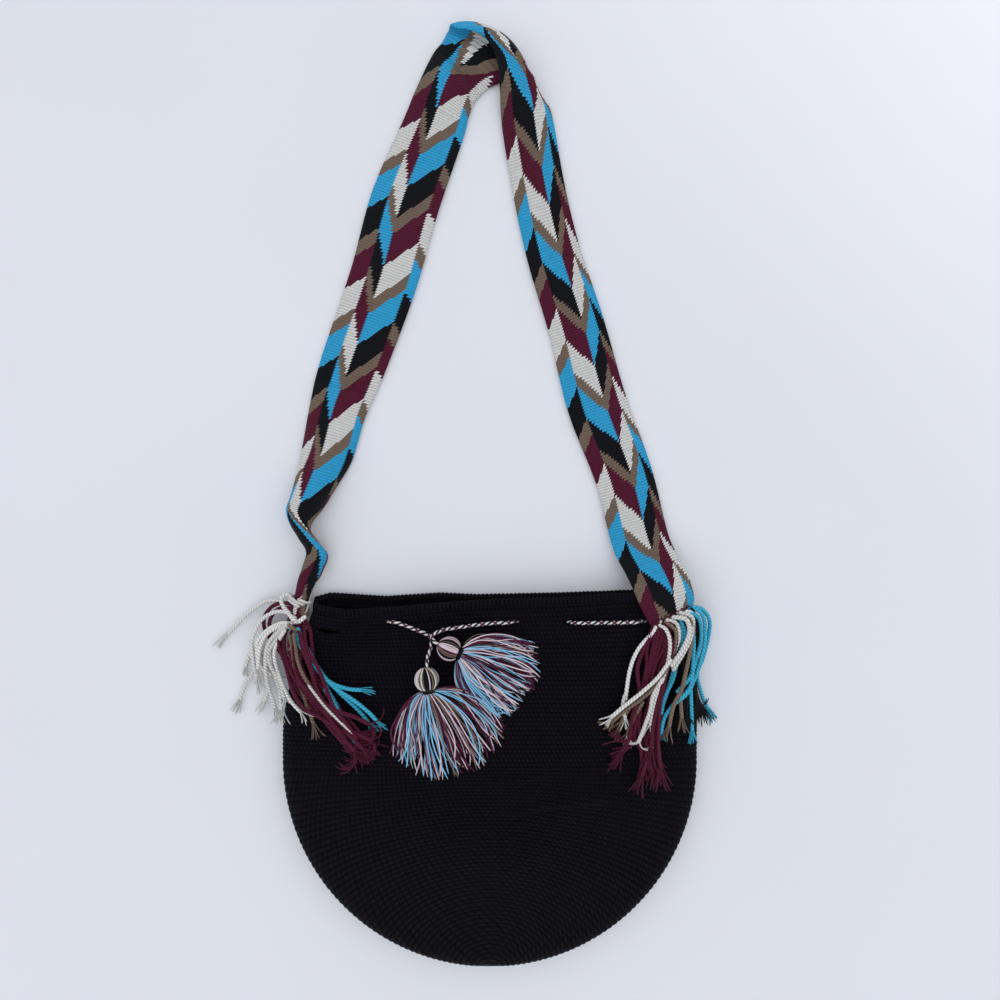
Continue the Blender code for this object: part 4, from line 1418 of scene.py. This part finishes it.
def right_fringe(shape: BagShape) -> Fringe:
    """The fringe at the strap's stitched right end."""
    white, maroon, blue, taupe, black = (Yarn.OFF_WHITE, Yarn.MAROON, Yarn.SKY_BLUE, Yarn.TAUPE, Yarn.BLACK)
    stray = Cord(blue, [(170, 156), (181, 152), (188, 142), (188, 127), (184, 108), (178, 96), (182, 80),
                        (190, 63)], 0.4, 28, 8, 15.0, stray=True)
    cords = [
        stray,
        Cord(white, [(139, 140), (136, 134), (124, 120), (117, 103), (113, 78)], 1.0, 30, 0),
        Cord(white, [(150, 114), (140, 99), (126, 86), (110, 74), (100, 66)], 2.6, 38, 6, 12.0),
        Cord(white, [(141, 141), (147, 137), (150, 126), (148, 109), (142, 92)], 3.0, 30, 0),
        Cord(white, [(144, 98), (136, 84), (133, 70), (128, 56),
                     (123, 44)], 2.4, 36, 6, 11.0, looped=True),
        Cord(white, [(140, 92), (136, 72), (133, 57)], 2.2, 36, 6, 13.0),
        Cord(white, [(152, 147), (163, 146), (166, 135), (160, 121), (150, 107)], 3.6, 30, 0, radius=2.0),
        Cord(white, [(158, 151), (169, 147), (169, 133), (162, 119), (152, 103)], 2.8, 30, 0, radius=1.9),
        Cord(white, [(147, 145), (156, 142), (158, 130), (153, 116), (146, 102)], 2.4, 30, 0),
        Cord(white, [(163, 152), (171, 150), (174, 140), (172, 128)], 2.0, 30, 0),
        Cord(white, [(113, 84), (111, 74), (113, 62)], 1.0, 33, 7, 12.0),
        Cord(maroon, [(150, 145), (156, 127), (146, 98), (141, 70), (140, 44),
                      (142, 24)], 2.4, 30, 9, 24.0),
        Cord(maroon, [(143, 142), (152, 126), (147, 104), (141, 84), (136, 60),
                      (134, 40)], 2.8, 30, 8, 20.0),
        Cord(blue, [(170, 156), (181, 146), (183, 126), (179, 110), (173, 96), (165, 83), (154, 74),
                    (146, 63), (143, 50)], 1.6, 28, 6, 9.0),
        Cord(blue, [(166, 153), (177, 144), (179, 126), (173, 108), (167, 96), (156, 84)], 2.0, 29, 0),
        Cord(blue, [(158, 148), (164, 130), (157, 110), (153, 95), (146, 80),
                    (143, 66)], 1.8, 30, 4, 8.0),
        Cord(blue, [(160, 149), (161, 126), (155, 106), (149, 86), (144, 72)], 1.4, 30, 4, 8.0),
        Cord(blue, [(167, 152), (171, 130), (170, 106), (168, 90), (158, 79)], 2.4, 30, 0),
        Cord(blue, [(168, 100), (170, 72), (171, 50)], 0.4, 30, 8, 13.0),
        Cord(taupe, [(162, 152), (170, 141), (168, 123), (164, 104), (160, 88), (153, 74),
                     (149, 56)], 2.8, 30, 7, 14.0),
        Cord(taupe, [(163, 100), (160, 80), (161, 62)], 1.4, 32, 7, 14.0),
        Cord(taupe, [(146, 144), (155, 136), (154, 121), (150, 111), (145, 96)], 2.6, 30, 0),
        Cord(taupe, [(148, 108), (138, 91), (126, 80), (110, 69), (102, 62)], 1.8, 36, 6, 11.0),
        Cord(taupe, [(130, 84), (118, 74), (109, 59)], 0.8, 33, 8, 15.0),
        Cord(taupe, [(128, 78), (121, 64), (115, 50)], 0.6, 33, 6, 12.0),
    ]
    reds = ([(137, 139), (130, 121), (126, 103), (121, 85), (117, 66), (115, 47), (114, 33)],
            [(152, 145), (153, 127), (148, 104), (145, 83), (141, 62), (139, 44), (138, 28)])
    darks = ([(164, 152), (165, 130), (162, 110), (160, 90), (160, 72)],
             [(170, 155), (178, 136), (178, 112), (177, 88), (177, 70)])
    bundles = [Bundle(maroon, 11, *reds, 1.5, 29.0, 8), Bundle(black, 9, *darks, 0.8, 28.0, 7)]
    return Fringe("right", shape, 9, cords, bundles, blue, curly=0.1)


# ---------------------------------------------------------------- strap ends
@dataclass
class StrapEnds:
    """What holds the strap's two ends to the bag."""

    binding_centre: Place = (-163.4, 158.0, 11.8)
    binding_axis: Place = (0.41, 0.91, 0.0)
    binding_radius: float = 8.6
    binding_turns: float = 2.25
    binding_pitch: float = 2.6
    binding_cord_radius: float = 1.2
    points_per_turn: int = 30
    stitches: int = 7
    sewn_from: Place = (136.0, 142.0, 31.0)
    sewn_to: Place = (168.0, 156.5, 29.2)
    stitch_reach: float = 1.1      # how far the sewing swings to each side
    sewing_yarn_radius: float = 0.5

    def build(self, finish: bpy.types.Material) -> tuple[bpy.types.Object, bpy.types.Object]:
        """Make the pale cord wound round the left end and the yarn that sews down the right."""
        axis = np.array(self.binding_axis)
        axis /= np.linalg.norm(axis)
        side = np.array((axis[1], -axis[0], 0.0))
        up = np.array((0.0, 0.0, 1.0))
        count = np.arange(round(self.binding_turns * self.points_per_turn) + 1) / self.points_per_turn
        turn = 2 * math.pi * count
        run = self.binding_pitch * (count - self.binding_turns / 2)
        path = (np.array(self.binding_centre) + axis * run[:, None]
                + side * (self.binding_radius * np.cos(turn))[:, None]
                + up * (self.binding_radius * np.sin(turn))[:, None])
        wound = Strands()
        wound.add_strand(path, self.binding_cord_radius, Yarn.OFF_WHITE.value, sides=9, plies=3, ply_pitch=7.0)
        binding = settle(wound.make("strap_binding_cord", finish), "white_cord", "strap_binding_left")
        start, end = np.array(self.sewn_from), np.array(self.sewn_to)
        across = (end - start) / np.linalg.norm(end - start)
        along = np.array((-across[1], across[0], 0.0))
        swings = 2 * self.stitches
        zigzag = [tuple(start + (end - start) * i / swings + along * self.stitch_reach * (1 if i % 2 else -1))
                  for i in range(swings + 1)]
        sewn = Strands()
        sewn.add_strand(even_path(zigzag, 0.8), self.sewing_yarn_radius, Yarn.MAROON.value,
                        sides=8, plies=2, ply_pitch=4.0)
        stitching = settle(sewn.make("strap_sewing_yarn", finish), "black_cord", "strap_stitching_right")
        return binding, stitching


# ---------------------------------------------------------------- studio
@dataclass
class Studio:
    """The camera straight above, the pale floor and the soft lights."""

    camera_place: Place = (0.00875, 0.245, 0.66)
    lens: float = 27.15
    floor_colour: Colour = (0.84, 0.845, 0.86)
    floor_size: float = 12.0
    floor_gap: float = 0.0003      # how far under the bag the floor lies, in metres
    aim: Place = (0.0, 0.2, 0.0)   # what the lights face, in metres
    air_colour: Colour = (0.90, 0.93, 1.0)
    air_strength: float = 0.95

    def camera(self) -> None:
        """Set up the camera, with +Y up in its view."""
        data = bpy.data.cameras.new("overhead_camera")
        data.lens = self.lens
        data.sensor_width = 36.0
        data.clip_start = 0.01
        camera = placed("overhead_camera", data)
        camera.location = self.camera_place
        bpy.context.scene.camera = camera

    def floor(self) -> None:
        """Lay the floor just under the bag."""
        select_none()
        bpy.ops.mesh.primitive_plane_add(size=self.floor_size, location=(0, 0.25, -self.floor_gap))
        floor = bpy.context.object
        floor.name = "studio_floor"
        paper = Shading("studio_paper")
        paper.set(Roughness=0.6, Specular_IOR_Level=0.3)
        colour = paper.nodes.new("ShaderNodeRGB")
        colour.outputs[0].default_value = (*self.floor_colour, 1.0)
        cloudy = paper.shade(colour.outputs[0], paper.spread(paper.noise(3.0), 0.97, 1.03))
        floor.data.materials.append(paper.finish(cloudy, paper.bump(paper.noise(150.0), 0.0001)))

    def light(self, name: str, place: Place, size: float, power: float,
              colour: Colour) -> None:
        """Add one soft light that faces the middle of the bag.

        Args:
            name: The light's name.
            place: Where it stands, in metres.
            size: Its side, in metres.
            power: Its power, in watts.
            colour: Its colour.
        """
        data = bpy.data.lights.new(name, "AREA")
        data.size = size
        data.energy = power
        data.color = colour
        lamp = placed(name, data)
        lamp.location = place
        lamp.rotation_euler = facing(np.array(self.aim) - np.array(place))

    def lights(self) -> None:
        """Add the window-like key light, the cooler fill and the room's own light."""
        self.light("window_light", (1.3, 1.5, 1.7), size=1.6, power=58.0, colour=(1.0, 0.985, 0.95))
        self.light("side_fill", (-1.6, -0.5, 1.3), size=1.8, power=16.0, colour=(0.72, 0.84, 1.0))
        world = bpy.data.worlds.new("studio_air")
        world.use_nodes = True
        backdrop = world.node_tree.nodes["Background"]
        backdrop.inputs["Color"].default_value = (*self.air_colour, 1.0)
        backdrop.inputs["Strength"].default_value = self.air_strength
        bpy.context.scene.world = world

    def build(self) -> None:
        """Set up everything that isn't part of the bag."""
        self.camera()
        self.floor()
        self.lights()
        bpy.context.scene.view_settings.view_transform = "Standard"


def facing(direction: np.ndarray) -> tuple[float, float, float]:
    """Turn for an object whose own -Z has to point along a direction."""
    tilt = math.acos(-direction[2] / float(np.linalg.norm(direction)))
    heading = math.atan2(direction[0], -direction[1])
    return (tilt, 0.0, heading)


def main() -> None:
    """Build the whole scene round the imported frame."""
    logging.basicConfig(level=logging.INFO, format="%(name)s %(message)s")
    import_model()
    Studio().build()
    shape = BagShape()
    bag = Bag(shape)
    lower = Tassel(
        "tassel_lower", (-51.5, 97.5, 40.5), (0.16, -1.0), shape, 3,
        outline=[(-58, 60), (-50, 70), (-38, 73), (-23, 78), (-8, 76), (5, 75), (19, 67), (25, 64), (36, 59)],
        blue_side=8.0, ball=(Yarn.TAUPE, Yarn.OFF_WHITE, Yarn.PALE_PINK, Yarn.BLACK, Yarn.TAUPE))
    upper = Tassel(
        "tassel_upper", (-33.0, 122.5, 39.0), (1.0, -0.42), shape, 8,
        outline=[(-28, 56), (-20, 64), (-3, 70), (6, 69), (16, 67), (25, 66), (33, 64), (40, 57), (44, 46)],
        blue_side=30.0, ball=(Yarn.PALE_PINK, Yarn.PLUM, Yarn.BLACK, Yarn.PALE_PINK, Yarn.TAUPE))
    string = Drawstring(shape, (lower.core(), upper.core())).build(bag)
    for end, (tassel, tie) in (("lower", lower.build()), ("upper", upper.build())):
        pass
    bag.build()
    cord_finish = YarnFinish("warp_cord", plies=3).make()
    strap = Strap().build()
    trimmings = list(StrapEnds().build(cord_finish))
    for fringe in (left_fringe(shape), right_fringe(shape)):
        trimmings += fringe.build(cord_finish)


if __name__ == "__main__":
    main()
